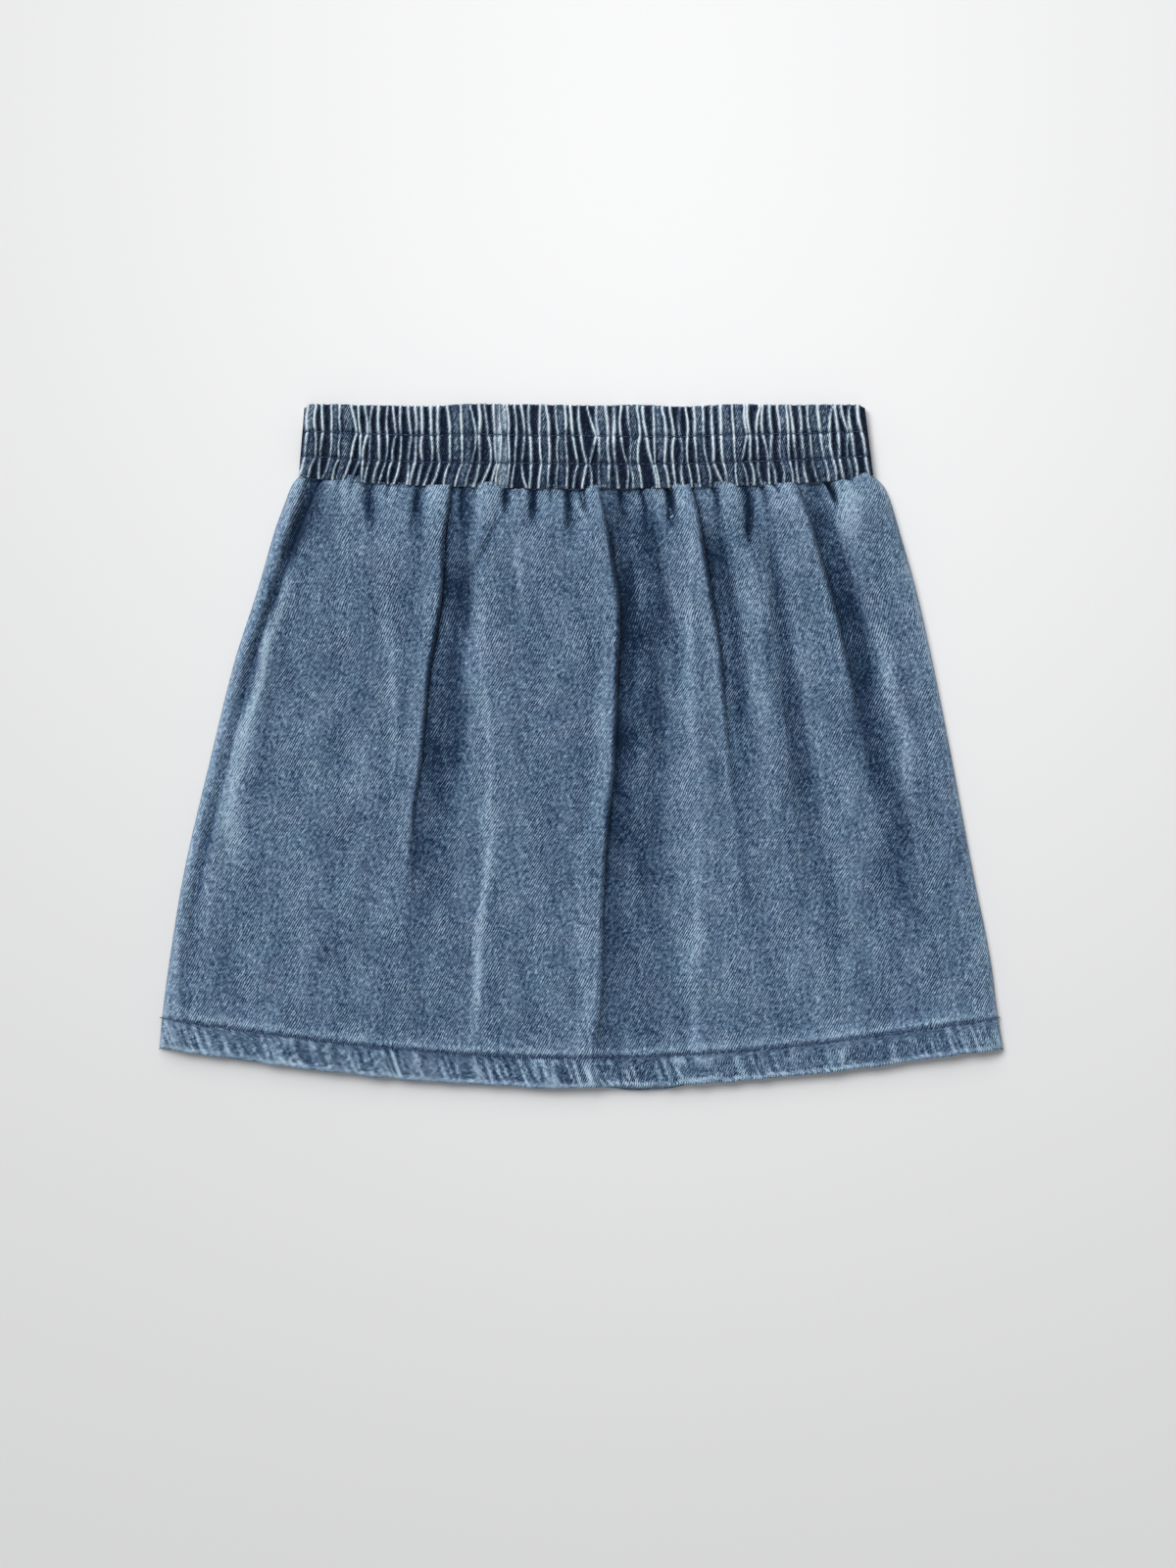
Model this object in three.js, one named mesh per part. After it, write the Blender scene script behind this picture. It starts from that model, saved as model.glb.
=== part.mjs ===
// A child's denim skirt laid flat on its back: an A-line tube of two panels, gathered into an
// elasticated waistband casing, with a turned-up hem.
// Millimetres. +X is to the right of someone looking down on the front, +Y is towards the waist,
// +Z is up, and the back rests on Z = 0.

import * as THREE from 'three';

const { clamp, lerp, smoothstep } = THREE.MathUtils;

// ---- Driving sizes ----

const WALL = 1.0;                   // denim with its nap
const SEAM_GAP = 0.3;               // between pieces that are sewn or lie together
const WAIST_TOP_Y = 139.5;
const SEAM_Y = { side: 110, middle: 104.2 };
const HEM_Y = { side: -123.5, middle: -139.5 };
const HEM_TURN_INSET = 8;           // it stops this far inside the side seams
const HEM_START = 0.943;            // where the turned-up allowance starts, down the panel
const BACK_FOLD_MOST = 2.2;         // highest that the back's folds rise off the surface
const BACK_FLATTENS = 0.75;         // where they begin to die out, down the panel
const LAYER_PLAY = 0.4;             // slack between stacked layers, beyond the seam gap
const SIDE_ROLL = 6;                // the front curves down to the back over this width
const SIDE_EDGE_Z = 2.05;           // top of the front's edge, which lies on the back's edge

// Side edges of the laid panels. down runs from the waist seam, 0, to the hem, 1.
const OUTLINE = [
  { down: 0.000, left: -115.0, right: 119.0 },
  { down: 0.017, left: -118.0, right: 123.2 },
  { down: 0.043, left: -120.4, right: 126.0 },
  { down: 0.094, left: -124.8, right: 129.6 },
  { down: 0.197, left: -131.8, right: 136.4 },
  { down: 0.325, left: -141.4, right: 143.2 },
  { down: 0.480, left: -150.4, right: 150.4 },
  { down: 0.685, left: -161.6, right: 159.4 },
  { down: 0.839, left: -167.6, right: 166.6 },
  { down: 0.942, left: -170.8, right: 169.8 },
  { down: 1.000, left: -172.0, right: 172.0 },
];

// Height of the front's outer face between its folds.
const LEVELS = [
  { down: 0.000, plateau: 5.6 },
  { down: 0.020, plateau: 6.5 },
  { down: 0.060, plateau: 6.5 },
  { down: 0.150, plateau: 6.1 },
  { down: 0.300, plateau: 5.4 },
  { down: 0.500, plateau: 4.8 },
  { down: 0.750, plateau: 4.4 },
  { down: 0.900, plateau: 4.7 },
  { down: 0.943, plateau: 5.5 },
  { down: 1.000, plateau: 5.5 },
];

// Folds. lip and crease are shares of the width, from the left edge, at each of STATIONS down the
// panel, and depth is in mm there. A fold drops off its lip towards faces (1 is right), over drop mm,
// lies in a trough to trough mm, and rises again to a crease that stands crest times its depth proud.
// Its lip stands above the level by one share of its depth, and its floor lies below it by the rest.
const STATIONS = [0, 0.2, 0.45, 0.7, 1];
const LIP_SHARE = 0.35;
const FOLD_LEAD = 9;                // the level starts to rise this far before a lip
const TROUGH_MOST = 0.6;            // longest trough, as a share of the way to the crease
const FRONT_FOLDS = [
  { name: 'left tuck', faces: -1, drop: 3.0, trough: 7, crest: 0.0,
    lip: [0.055, 0.041, 0.045, 0.048, 0.047], crease: [0.015, 0.012, 0.012, 0.012, 0.012],
    depth: [4.5, 3.0, 2.0, 1.5, 0.5] },
  { name: 'left pleat', faces: 1, drop: 2.6, trough: 9, crest: 0.2,
    lip: [0.253, 0.265, 0.274, 0.297, 0.332], crease: [0.330, 0.338, 0.376, 0.389, 0.400],
    depth: [5.0, 5.5, 4.2, 2.2, 0.6] },
  { name: 'middle pleat', faces: 1, drop: 2.6, trough: 11, crest: 0.2,
    lip: [0.533, 0.545, 0.543, 0.527, 0.517], crease: [0.640, 0.655, 0.652, 0.652, 0.635],
    depth: [5.5, 6.0, 4.8, 3.2, 1.8] },
  { name: 'right pleat', faces: 1, drop: 2.6, trough: 8, crest: 0.1,
    lip: [0.684, 0.689, 0.698, 0.705, 0.710], crease: [0.740, 0.745, 0.750, 0.755, 0.760],
    depth: [5.5, 4.6, 1.6, 0.3, 0.0] },
  { name: 'right swell', faces: 1, drop: 8.0, trough: 12, crest: 0.0,
    lip: [0.790, 0.781, 0.790, 0.810, 0.840], crease: [0.826, 0.832, 0.850, 0.880, 0.900],
    depth: [0.0, 1.2, 2.2, 1.8, 0.8] },
  { name: 'right tuck', faces: 1, drop: 2.8, trough: 9, crest: 0.2,
    lip: [0.848, 0.865, 0.905, 0.930, 0.945], crease: [0.925, 0.940, 0.958, 0.968, 0.978],
    depth: [5.5, 4.6, 2.0, 0.6, 0.0] },
];
const BACK_FOLDS = [
  { name: 'back left tuck', faces: 1, drop: 3.0, trough: 8, crest: 0.0,
    lip: [0.110, 0.100, 0.095, 0.090, 0.090], crease: [0.165, 0.150, 0.140, 0.135, 0.130],
    depth: [2.6, 1.8, 1.0, 0.5, 0.0] },
  { name: 'back left pleat', faces: -1, drop: 3.0, trough: 9, crest: 0.0,
    lip: [0.330, 0.315, 0.305, 0.300, 0.295], crease: [0.265, 0.255, 0.255, 0.260, 0.260],
    depth: [2.8, 2.0, 1.2, 0.8, 0.0] },
  { name: 'back middle pleat', faces: 1, drop: 3.0, trough: 9, crest: 0.0,
    lip: [0.470, 0.475, 0.480, 0.480, 0.480], crease: [0.540, 0.545, 0.540, 0.530, 0.520],
    depth: [2.8, 2.2, 1.2, 0.6, 0.0] },
  { name: 'back right pleat', faces: 1, drop: 3.0, trough: 9, crest: 0.0,
    lip: [0.640, 0.650, 0.660, 0.670, 0.680], crease: [0.710, 0.710, 0.715, 0.715, 0.715],
    depth: [2.6, 2.0, 1.0, 0.4, 0.0] },
  { name: 'back right tuck', faces: -1, drop: 3.0, trough: 8, crest: 0.0,
    lip: [0.880, 0.890, 0.900, 0.905, 0.910], crease: [0.815, 0.830, 0.850, 0.860, 0.865],
    depth: [2.6, 1.8, 0.8, 0.4, 0.0] },
];

// Short gathers where the panel is eased into the waist seam: place as a share of the width,
// depth at the seam, half width, and how far down they run, in mm but for the place.
const FRONT_GATHERS = [
  { place: 0.100, depth: 2.0, half: 2.4, run: 12 },
  { place: 0.137, depth: 3.2, half: 2.6, run: 22 },
  { place: 0.180, depth: 2.0, half: 2.4, run: 10 },
  { place: 0.216, depth: 3.0, half: 2.6, run: 16 },
  { place: 0.361, depth: 3.2, half: 2.6, run: 18 },
  { place: 0.409, depth: 2.6, half: 2.4, run: 12 },
  { place: 0.465, depth: 3.2, half: 2.6, run: 18 },
  { place: 0.505, depth: 2.6, half: 2.4, run: 26 },
  { place: 0.592, depth: 2.4, half: 2.6, run: 40 },
  { place: 0.631, depth: 3.0, half: 2.4, run: 20 },
  { place: 0.765, depth: 3.4, half: 2.6, run: 34 },
  { place: 0.800, depth: 2.2, half: 2.4, run: 12 },
  { place: 0.898, depth: 2.8, half: 2.6, run: 14 },
  { place: 0.950, depth: 2.0, half: 2.6, run: 10 },
];
const BACK_GATHERS = [
  { place: 0.055, depth: 1.6, half: 2.6, run: 14 },
  { place: 0.200, depth: 2.0, half: 2.6, run: 24 },
  { place: 0.375, depth: 2.0, half: 2.6, run: 20 },
  { place: 0.425, depth: 1.6, half: 2.6, run: 14 },
  { place: 0.590, depth: 2.0, half: 2.6, run: 26 },
  { place: 0.750, depth: 1.8, half: 2.6, run: 18 },
  { place: 0.940, depth: 1.6, half: 2.6, run: 14 },
];

// The waistband's outer face from its top edge, 0, to the waist seam, 1: how far its gathers puff out
// between the stitched rows, which pull them in.
const CASING_ROWS = [
  { down: 0.00, puff: 0.15 },
  { down: 0.06, puff: 0.75 },
  { down: 0.18, puff: 1.00 },
  { down: 0.34, puff: 0.35 },
  { down: 0.51, puff: 1.00 },
  { down: 0.69, puff: 0.35 },
  { down: 0.85, puff: 0.90 },
  { down: 1.00, puff: 0.55 },
];
const FRONT_BAND = { gathers: 69, inside: 3.0, valley: 4.7, crest: 7.0 };
const BACK_BAND = { gathers: 68, inside: 2.7, valley: 1.6, crest: 0.0 };
const BAND_TOP = { left: -112.8, right: 115.6 };
const BAND_TOP_WAVE = { dip: 1.0, columns: 6 };       // the top edge dips by up to this, in short waves
const BAND_END_ROLL = 4;
const BAND_END_SHARE = 0.45;        // height of the casing's ends between its inside and its valleys
const GATHER_SHIFT = { whole: 0.45, row: 0.35 };      // how far a gather strays, in columns
const CREST_UNEVEN = 0.15;          // how much lower than the highest a gather may be
const INSIDE_STRIDE = 6;            // columns of the outer face for each of the plain inside

const PANEL_ROWS = [0, 0.02, 0.05, 0.09, 0.14, 0.2, 0.27, 0.36, 0.47, 0.59, 0.71, 0.82, 0.9, HEM_START, 0.965, 1];
const FRONT_STEP = 0.024;           // widest column of the front, as a share of the width
const BACK_STEP = 0.05;
const NARROWEST_STEP = 0.007;
const BESIDE_GATHER = 1.3;          // columns stand beside a gather at this many half widths
const BEFORE_LIP = -4;              // and this far before a lip

// ---- Reading the tables ----

/** A column of a table at a place along its down column, on a smooth curve through the rows. */
function read(table, column, down) {
  const last = table.length - 1;
  let row = 0;
  while (row < last - 1 && table[row + 1].down < down) row += 1;
  const [before, from, to, after] = [row - 1, row, row + 1, row + 2].map((r) => table[clamp(r, 0, last)]);
  const span = to.down - from.down;
  const slope = (a, b) => (b.down > a.down ? (b[column] - a[column]) / (b.down - a.down) : 0);
  const t = clamp((down - from.down) / span, 0, 1);
  const start = slope(before, to) * span;
  const end = slope(from, after) * span;
  const rise = to[column] - from[column];
  return from[column] + t * (start + t * (3 * rise - 2 * start - end + t * (start + end - 2 * rise)));
}

/** One of a fold's lists, read between its stations. */
function atStation(values, down) {
  const table = STATIONS.map((station, index) => ({ down: station, value: values[index] }));
  return read(table, 'value', down);
}

/** An even-handed number from -1 to 1 that is always the same for the same index and salt. */
function uneven(index, salt) {
  const wave = Math.sin(index * 12.9898 + salt * 78.233) * 43758.5453;
  return 2 * (wave - Math.floor(wave)) - 1;
}

// ---- The laid outline ----

/** Share along a half sine, 0 at both sides and 1 in the middle, of the waist seam and the hem. */
function bow(across) {
  return Math.sin(Math.PI * clamp(across, 0, 1));
}

function seamY(across) {
  return lerp(SEAM_Y.side, SEAM_Y.middle, bow(across) ** 0.5);
}

function hemY(across) {
  return lerp(HEM_Y.side, HEM_Y.middle, bow(across));
}

function edges(down) {
  const left = read(OUTLINE, 'left', down);
  const right = read(OUTLINE, 'right', down);
  return { left, right, width: right - left };
}

// ---- Folds of the panels ----

/** Height that a fold adds at a distance past its lip. */
function foldHeight(fold, past, down, reach) {
  const depth = atStation(fold.depth, down);
  const lip = LIP_SHARE * depth;
  const floor = lip - depth;
  const crest = fold.crest * depth;
  const trough = Math.min(fold.trough, TROUGH_MOST * reach);
  if (past < 0) return lip * smoothstep(past, -FOLD_LEAD, 0);
  if (past < fold.drop) return lerp(lip, floor, smoothstep(past, 0, fold.drop));
  if (past < trough) return floor;
  if (past < reach) return lerp(floor, crest, smoothstep(past, trough, reach));
  return crest * (1 - smoothstep(past, reach, reach + 2 * FOLD_LEAD));
}

/** All that folds and gathers add at a share across and down a panel. */
function relief(folds, gathers, across, down) {
  const { width } = edges(down);
  const length = seamY(across) - hemY(across);
  let height = 0;
  for (const fold of folds) {
    const lip = atStation(fold.lip, down);
    const reach = Math.abs(atStation(fold.crease, down) - lip) * width;
    height += foldHeight(fold, (across - lip) * width * fold.faces, down, reach);
  }
  for (const gather of gathers) {
    const beside = (across - gather.place) * width / gather.half;
    const fade = 1 - smoothstep(down * length, 0, gather.run);
    height -= gather.depth * fade * Math.exp(-beside * beside);
  }
  return height;
}

/** Shares of the width where a panel's columns start at the waist: close at folds, wider between. */
function columnStarts(folds, gathers, widest) {
  const { width } = edges(0);
  const wanted = [0, 0.5 * SIDE_ROLL / width, SIDE_ROLL / width];
  wanted.push(...wanted.map((share) => 1 - share));
  for (const fold of folds) {
    for (const past of [BEFORE_LIP, 0, fold.drop, fold.trough]) {
      wanted.push(fold.lip[0] + past * fold.faces / width);
    }
    wanted.push(fold.crease[0]);
  }
  for (const { place, half } of gathers) {
    for (const side of [-BESIDE_GATHER, 0, BESIDE_GATHER]) wanted.push(place + side * half / width);
  }
  wanted.sort((a, b) => a - b);
  const columns = [0];
  for (const share of wanted) {
    const from = columns.at(-1);
    if (share - from < NARROWEST_STEP) continue;
    const steps = Math.ceil((share - from) / widest);
    for (let step = 1; step <= steps; step += 1) columns.push(lerp(from, share, step / steps));
  }
  columns[columns.length - 1] = 1;
  return columns;
}

/** Where a column that starts at a share of the waist lies further down: it flows along the folds. */
function flow(folds, start, down) {
  const lines = folds.flatMap(({ lip, crease }) => [lip, crease]).sort((a, b) => a[0] - b[0]);
  const stops = [[0, 0], ...lines.map((line) => [line[0], atStation(line, down)]), [1, 1]];
  let index = 0;
  while (index < stops.length - 2 && stops[index + 1][0] < start) index += 1;
  const [from, to] = [stops[index], stops[index + 1]];
  return lerp(from[1], to[1], (start - from[0]) / (to[0] - from[0]));
}

/** Points of a panel's outer face, a row for each place down it, with a height function. */
function panelPoints(folds, starts, height) {
  return PANEL_ROWS.map((down) => starts.map((start) => {
    const across = flow(folds, start, down);
    const { left, right } = edges(down);
    const y = lerp(seamY(across) - SEAM_GAP / 2, hemY(across), down);
    return new THREE.Vector3(lerp(left, right, across), y, height(across, down));
  }));
}

/** The back's outer face lies on the surface, and only its folds rise from it. */
function backHeight(across, down) {
  const rise = -relief(BACK_FOLDS, BACK_GATHERS, across, down);
  return clamp(rise, 0, BACK_FOLD_MOST * (1 - smoothstep(down, BACK_FLATTENS, HEM_START)));
}

/** The lowest that the front's outer face can sink onto the layers that it covers. */
function frontLowest(across, down) {
  const layers = down < HEM_START ? 2 : 4;
  return backHeight(across, down) + layers * WALL + (layers - 1) * SEAM_GAP + LAYER_PLAY;
}

/** The front's outer face: a level with folds in it, curved down to the back's edge at the sides. */
function frontHeight(across, down) {
  const level = read(LEVELS, 'plateau', down) + relief(FRONT_FOLDS, FRONT_GATHERS, across, down);
  const top = Math.max(level, frontLowest(across, down));
  const inside = Math.min(across, 1 - across) * edges(down).width;
  const share = clamp(inside / SIDE_ROLL, 0, 1);
  return lerp(SIDE_EDGE_Z, top, Math.sqrt(1 - (1 - share) ** 2));
}

// ---- The waistband ----

/** Points of the casing's gathered outer face, two columns a gather. */
function bandPoints(band) {
  const { gathers, valley, crest } = band;
  const columns = 2 * gathers + 1;
  return CASING_ROWS.map(({ down, puff }, row) => Array.from({ length: columns }, (_, column) => {
    const isEnd = column === 0 || column === columns - 1;
    const isCrest = column % 2 === 1;
    const strays = GATHER_SHIFT.whole * uneven(column, 1) + GATHER_SHIFT.row * uneven(column, row + 2);
    const shift = isEnd ? 0 : strays;
    const across = (column + shift) / (columns - 1);
    const seam = edges(0);
    const left = lerp(BAND_TOP.left, seam.left, down);
    const right = lerp(BAND_TOP.right, seam.right, down);
    const x = lerp(left, right, across);
    const wave = (1 + uneven(Math.floor(column / BAND_TOP_WAVE.columns), 9)) / 2;
    const top = WAIST_TOP_Y - BAND_TOP_WAVE.dip * wave;
    const y = lerp(top, seamY(across) + SEAM_GAP / 2, down);
    const height = isCrest ? puff * (1 - CREST_UNEVEN + CREST_UNEVEN * uneven(column, 5)) : 0;
    const share = clamp(Math.min(x - left, right - x) / BAND_END_ROLL, 0, 1);
    const z = lerp(valley, crest, height);
    const edge = lerp(band.inside, valley, BAND_END_SHARE);
    return new THREE.Vector3(x, y, lerp(edge, z, Math.sqrt(1 - (1 - share) ** 2)));
  }));
}

/** The casing's plain inside, a flat sheet with the outline of its outer face. */
function bandInside(outer, z) {
  const last = outer[0].length - 1;
  return [outer[0], outer.at(-1)].map((row) => row
    .filter((_, column) => column % INSIDE_STRIDE === 0 || column === last)
    .map(({ x, y }) => new THREE.Vector3(x, y, z)));
}

// ---- Solids ----

/** A grid of points moved along its normals: up for a positive distance. */
function moved(grid, distance) {
  return grid.map((row, r) => row.map((point, c) => {
    const above = grid[Math.max(r - 1, 0)][c];
    const below = grid[Math.min(r + 1, grid.length - 1)][c];
    const left = row[Math.max(c - 1, 0)];
    const right = row[Math.min(c + 1, row.length - 1)];
    const normal = right.clone().sub(left).cross(above.clone().sub(below)).normalize();
    return point.clone().addScaledVector(normal, distance);
  }));
}

/** Triangles that join two lines of vertex numbers, which may have different counts. */
function ribbon(lineA, lineB) {
  const triangles = [];
  let [a, b] = [0, 0];
  while (a < lineA.length - 1 || b < lineB.length - 1) {
    const nextA = (a + 1) / (lineA.length - 1);
    const nextB = (b + 1) / (lineB.length - 1);
    if (nextA <= nextB) {
      triangles.push([lineA[a + 1], lineA[a], lineB[b]]);
      a += 1;
    } else {
      triangles.push([lineA[a], lineB[b], lineB[b + 1]]);
      b += 1;
    }
  }
  return triangles;
}

/** The vertex numbers round a grid's edge, in four lines that run anticlockwise. */
function borders(rows, columns, first) {
  const vertex = (r, c) => first + r * columns + c;
  const down = Array.from({ length: rows }, (_, r) => r);
  const along = Array.from({ length: columns }, (_, c) => c);
  return [
    along.map((c) => vertex(0, c)).reverse(),
    down.map((r) => vertex(r, 0)),
    along.map((c) => vertex(rows - 1, c)),
    down.map((r) => vertex(r, columns - 1)).reverse(),
  ];
}

/** One closed body between an upper and a lower grid of points. */
function wallBetween(upper, lower) {
  const points = [...upper.flat(), ...lower.flat()];
  const triangles = [];
  const face = (grid, first, turned) => {
    const columns = grid[0].length;
    for (let r = 0; r < grid.length - 1; r += 1) {
      for (let c = 0; c < columns - 1; c += 1) {
        const corner = first + r * columns + c;
        const quad = [corner, corner + columns, corner + columns + 1, corner + 1];
        if (turned) quad.reverse();
        triangles.push([quad[0], quad[1], quad[2]], [quad[0], quad[2], quad[3]]);
      }
    }
  };
  const lowerFirst = upper.flat().length;
  face(upper, 0, false);
  face(lower, lowerFirst, true);
  const upperBorders = borders(upper.length, upper[0].length, 0);
  const lowerBorders = borders(lower.length, lower[0].length, lowerFirst);
  upperBorders.forEach((line, side) => triangles.push(...ribbon(line, lowerBorders[side])));
  const geometry = new THREE.BufferGeometry().setFromPoints(points);
  geometry.setIndex(triangles.flat());
  geometry.computeVertexNormals();
  return geometry;
}

/** The rows and columns of a panel that the turned-up hem covers. */
function hemStrip(grid) {
  const rows = grid.slice(PANEL_ROWS.indexOf(HEM_START));
  const inner = rows[0].map((_, c) => c).filter((c) => (
    rows[0][c].x - rows[0][0].x >= HEM_TURN_INSET && rows[0].at(-1).x - rows[0][c].x >= HEM_TURN_INSET));
  return rows.map((row) => inner.map((c) => row[c]));
}

// ---- The skirt ----

const denim = new THREE.MeshStandardMaterial({ color: 0x5a7089, roughness: 0.92, metalness: 0 });
const gatheredDenim = new THREE.MeshStandardMaterial({ color: 0x50637c, roughness: 0.94, metalness: 0 });
const denimInside = new THREE.MeshStandardMaterial({ color: 0x8b9bad, roughness: 0.94, metalness: 0 });

const skirt = new THREE.Group();

function addPiece(name, geometry, material) {
  const mesh = new THREE.Mesh(geometry, material);
  mesh.name = name;
  skirt.add(mesh);
}

const frontStarts = columnStarts(FRONT_FOLDS, FRONT_GATHERS, FRONT_STEP);
const frontOuter = panelPoints(FRONT_FOLDS, frontStarts, frontHeight);
const frontInner = moved(frontOuter, -WALL);
addPiece('front_panel', wallBetween(frontOuter, frontInner), denim);

const backStarts = columnStarts(BACK_FOLDS, BACK_GATHERS, BACK_STEP);
const backOuter = panelPoints(BACK_FOLDS, backStarts, backHeight);
const backInner = moved(backOuter, WALL);
addPiece('back_panel', wallBetween(backInner, backOuter), denim);

const frontBandOuter = bandPoints(FRONT_BAND);
const frontBandInside = bandInside(frontBandOuter, FRONT_BAND.inside);
addPiece('front_waistband', wallBetween(frontBandOuter, frontBandInside), gatheredDenim);

const backBandOuter = bandPoints(BACK_BAND);
const backBandInside = bandInside(backBandOuter, BACK_BAND.inside);
addPiece('back_waistband', wallBetween(backBandInside, backBandOuter), gatheredDenim);

const frontTurnTop = moved(hemStrip(frontInner), -SEAM_GAP);
addPiece('front_hem_turn', wallBetween(frontTurnTop, moved(frontTurnTop, -WALL)), denimInside);

const backTurnBottom = moved(hemStrip(backInner), SEAM_GAP);
addPiece('back_hem_turn', wallBetween(moved(backTurnBottom, WALL), backTurnBottom), denimInside);

export default skirt;
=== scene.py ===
"""A child's denim skirt laid flat on its back: washed twill panels in soft folds, a casing gathered
on elastic, a turned-up hem and its stitching. Sizes are in mm until a mesh is made."""

import math

import bpy
import numpy as np
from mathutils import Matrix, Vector


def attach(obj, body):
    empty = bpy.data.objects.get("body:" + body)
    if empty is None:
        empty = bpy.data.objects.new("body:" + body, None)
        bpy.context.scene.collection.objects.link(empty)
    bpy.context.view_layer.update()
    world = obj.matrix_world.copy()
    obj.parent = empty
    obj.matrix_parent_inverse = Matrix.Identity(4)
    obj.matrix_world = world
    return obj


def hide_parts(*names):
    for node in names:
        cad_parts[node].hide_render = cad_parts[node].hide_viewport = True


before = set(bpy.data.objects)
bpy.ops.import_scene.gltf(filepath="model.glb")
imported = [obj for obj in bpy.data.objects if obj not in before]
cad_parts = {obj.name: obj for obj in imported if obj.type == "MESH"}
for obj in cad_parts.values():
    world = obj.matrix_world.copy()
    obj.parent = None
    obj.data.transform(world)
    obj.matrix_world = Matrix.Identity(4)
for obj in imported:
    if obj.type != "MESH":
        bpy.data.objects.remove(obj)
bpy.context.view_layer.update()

MM = 0.001

# ---------------------------------------------------------------- driving sizes

CLOTH = 0.8                 # thickness of the denim
WAIST_TOP_Y = 139.5
SEAM_Y = {"side": 110.0, "middle": 104.2}
HEM_Y = {"side": -123.5, "middle": -139.5}
HEM_START = 0.943           # where the turned-up allowance starts, as a share down the panel
SIDE_ROLL = 6.0
SEAM_GAP = 0.3
SIDE_Z = 1.15               # height of the front where it rolls down at its sides
SEAM_Z = 4.3                # and where it goes under the waist seam
BAND_TOP = {"left": -112.8, "right": 115.6}
BAND_END_ROLL = 4.0
BAND_TOP_ROLL = 1.5
BAND_HEIGHT = 35.0
FRONT_BAND = {"gathers": 69, "inside": 3.0, "valley": 4.4, "crest": 7.2, "seed": 11}
BACK_BAND = {"gathers": 68, "inside": 2.7, "valley": 1.7, "crest": 0.0, "seed": 29}
CHANNELS = (0.0, 0.34, 0.69, 1.0)      # the casing's top edge, its stitched rows and the waist seam
LOWER_LEAN = {"left": -2.2, "right": 0.7}   # how far gathers lean in the casing's lowest channel
CREST_NARROWS = 0.90        # how much narrower the casing's crests are low down
PUFF_PALE = 0.36            # how pale a wide puff between gathers is, where a crest is 1
PALE_STRIPE = {"x": -32.6, "half": 3.2}     # one washed-out stretch of the casing
BAND_PINCH = {"row": 0.62, "seam": 0.35}    # how far stitching flattens the casing's gathers
BAND_EDGE = {"sway": 0.75, "crest": 0.45, "corner": 1.2}    # unevenness of the casing's top edge
HEM_DEPTH = 12.4            # from the hem's edge to its stitching
HEM_ROLL = 0.9              # radius of a hem's folded edge
OVER_BACK = {"panel": 2.6, "hem": 4.9}      # least height of the front over the back
TURNS_AT = {"front": 3.6, "back": 1.7, "least": 1.3}    # height at which a hem's fold ends
GATHERS_END = 45.0          # below this much cloth the waist's gathers have smoothed out
PINCH = {"deep": 1.5, "usual": 2.6, "power": 0.7, "dark": 0.42}     # the groove of a gather, darkened with painted shade
HOLLOW = {"deep": 0.75, "dark": 0.20, "width": 2.3, "run": 1.5}     # and the broad dip round it, also darkened with painted shade
INNER_STEP = 3              # the front's hidden side has a row and a column for each of this many
PUFF_RISE = 3.8             # how far a panel's puffs rise over the waist seam
BIG_PUFF = {"x": -92.8, "half": 6.0, "rise": 2.6}   # and one that rises further
BACK_PEEKS = {"x": 27.5, "half": 13.0, "drop": 1.5}     # where the back's hem shows below the front's
UNWASHED_AND_SHADED = {"trough": 0.45, "under_lip": 0.12}  # darker for each mm of fold in its trough and just past its lip: partly unwashed indigo, partly painted shade
OVERHANG = 0.42             # how far a fold's lip hangs over its trough, as a share of its depth
TWILL_PITCH = 0.9           # across one rib of the twill
TWILL_ANGLE = math.radians(63)
DENIM_GAINS = {"rib": 0.36, "dash": 1.1, "grain": 0.95, "slub": 0.25, "cloud": 0.42}
HEM_PUCKER = {"pitch": 4.6, "slant": 0.36, "height": 0.50}
HEM_WORN = {"broken": 1.4, "patch": 0.3, "start": 0.32, "under_stitches": 0.3, "rim": 2.6}
HEM_DARKEST = -0.6          # how dark the hem's valleys stay, on the scale of the wear and painted shade field
# Paling at the hem's edge, the side edges, the stitches and the seam; at the sides partly a painted
# highlight.
EDGE_WEAR_AND_HIGHLIGHT = {"hem": 1.5, "side": 2.6, "stitches": 0.9, "seam": 0.80}
HEM_UNEVEN = 0.45           # how far the front's hem edge strays from its curve
STITCH = {"pitch": 2.5, "length": 2.25, "radius": 0.26, "clear_ends": 8, "hem_slant": 0.14}
# Unevenness of the front: height, size across, size down and seed of each layer.
UNEVEN = ((0.35, 17, 55, 5), (0.16, 6, 14, 6), (0.10, 2.6, 4.0, 7))

CAMERA = {"x": 2.8, "y": -15.8, "height": 1600.0, "lens": 90.0, "sensor": 36.0}
KEY_LIGHT = {"source": (-0.62, 0.58, 1.0), "strength": 2.02, "angle": 30}
TOP_LIGHT = {"source": (-0.1, 1.0, 0.75), "strength": 0.78, "angle": 35}
STUDIO = {"overhead": 0.325, "horizon": 0.88}
FLOOR_HALF = 12.0           # in metres, as in the next line
# Painted light falloff on the floor, in metres: where it is lightest and how far out it greys.
FLOOR_PAINTED_FALLOFF = {"middle": 0.027, "side": 0.35, "side_share": 0.46, "top": 0.25, "foot": -0.45}


def table(names, *rows):
    """A table with named columns, as one array for each name."""
    return {name: np.array(column, float) for name, column in zip(names.split(), zip(*rows))}


# Side edges of the laid panels. down runs from the waist seam, 0, to the hem, 1.
OUTLINE = table(
    "down left right",
    (0.000, -115.0, 119.0),
    (0.017, -118.0, 123.2),
    (0.043, -120.4, 126.0),
    (0.094, -124.8, 129.6),
    (0.197, -131.8, 136.4),
    (0.325, -141.4, 143.2),
    (0.480, -150.4, 150.4),
    (0.685, -161.6, 159.4),
    (0.839, -167.6, 166.6),
    (0.942, -170.8, 169.8),
    (1.000, -172.0, 172.0),
)

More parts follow.
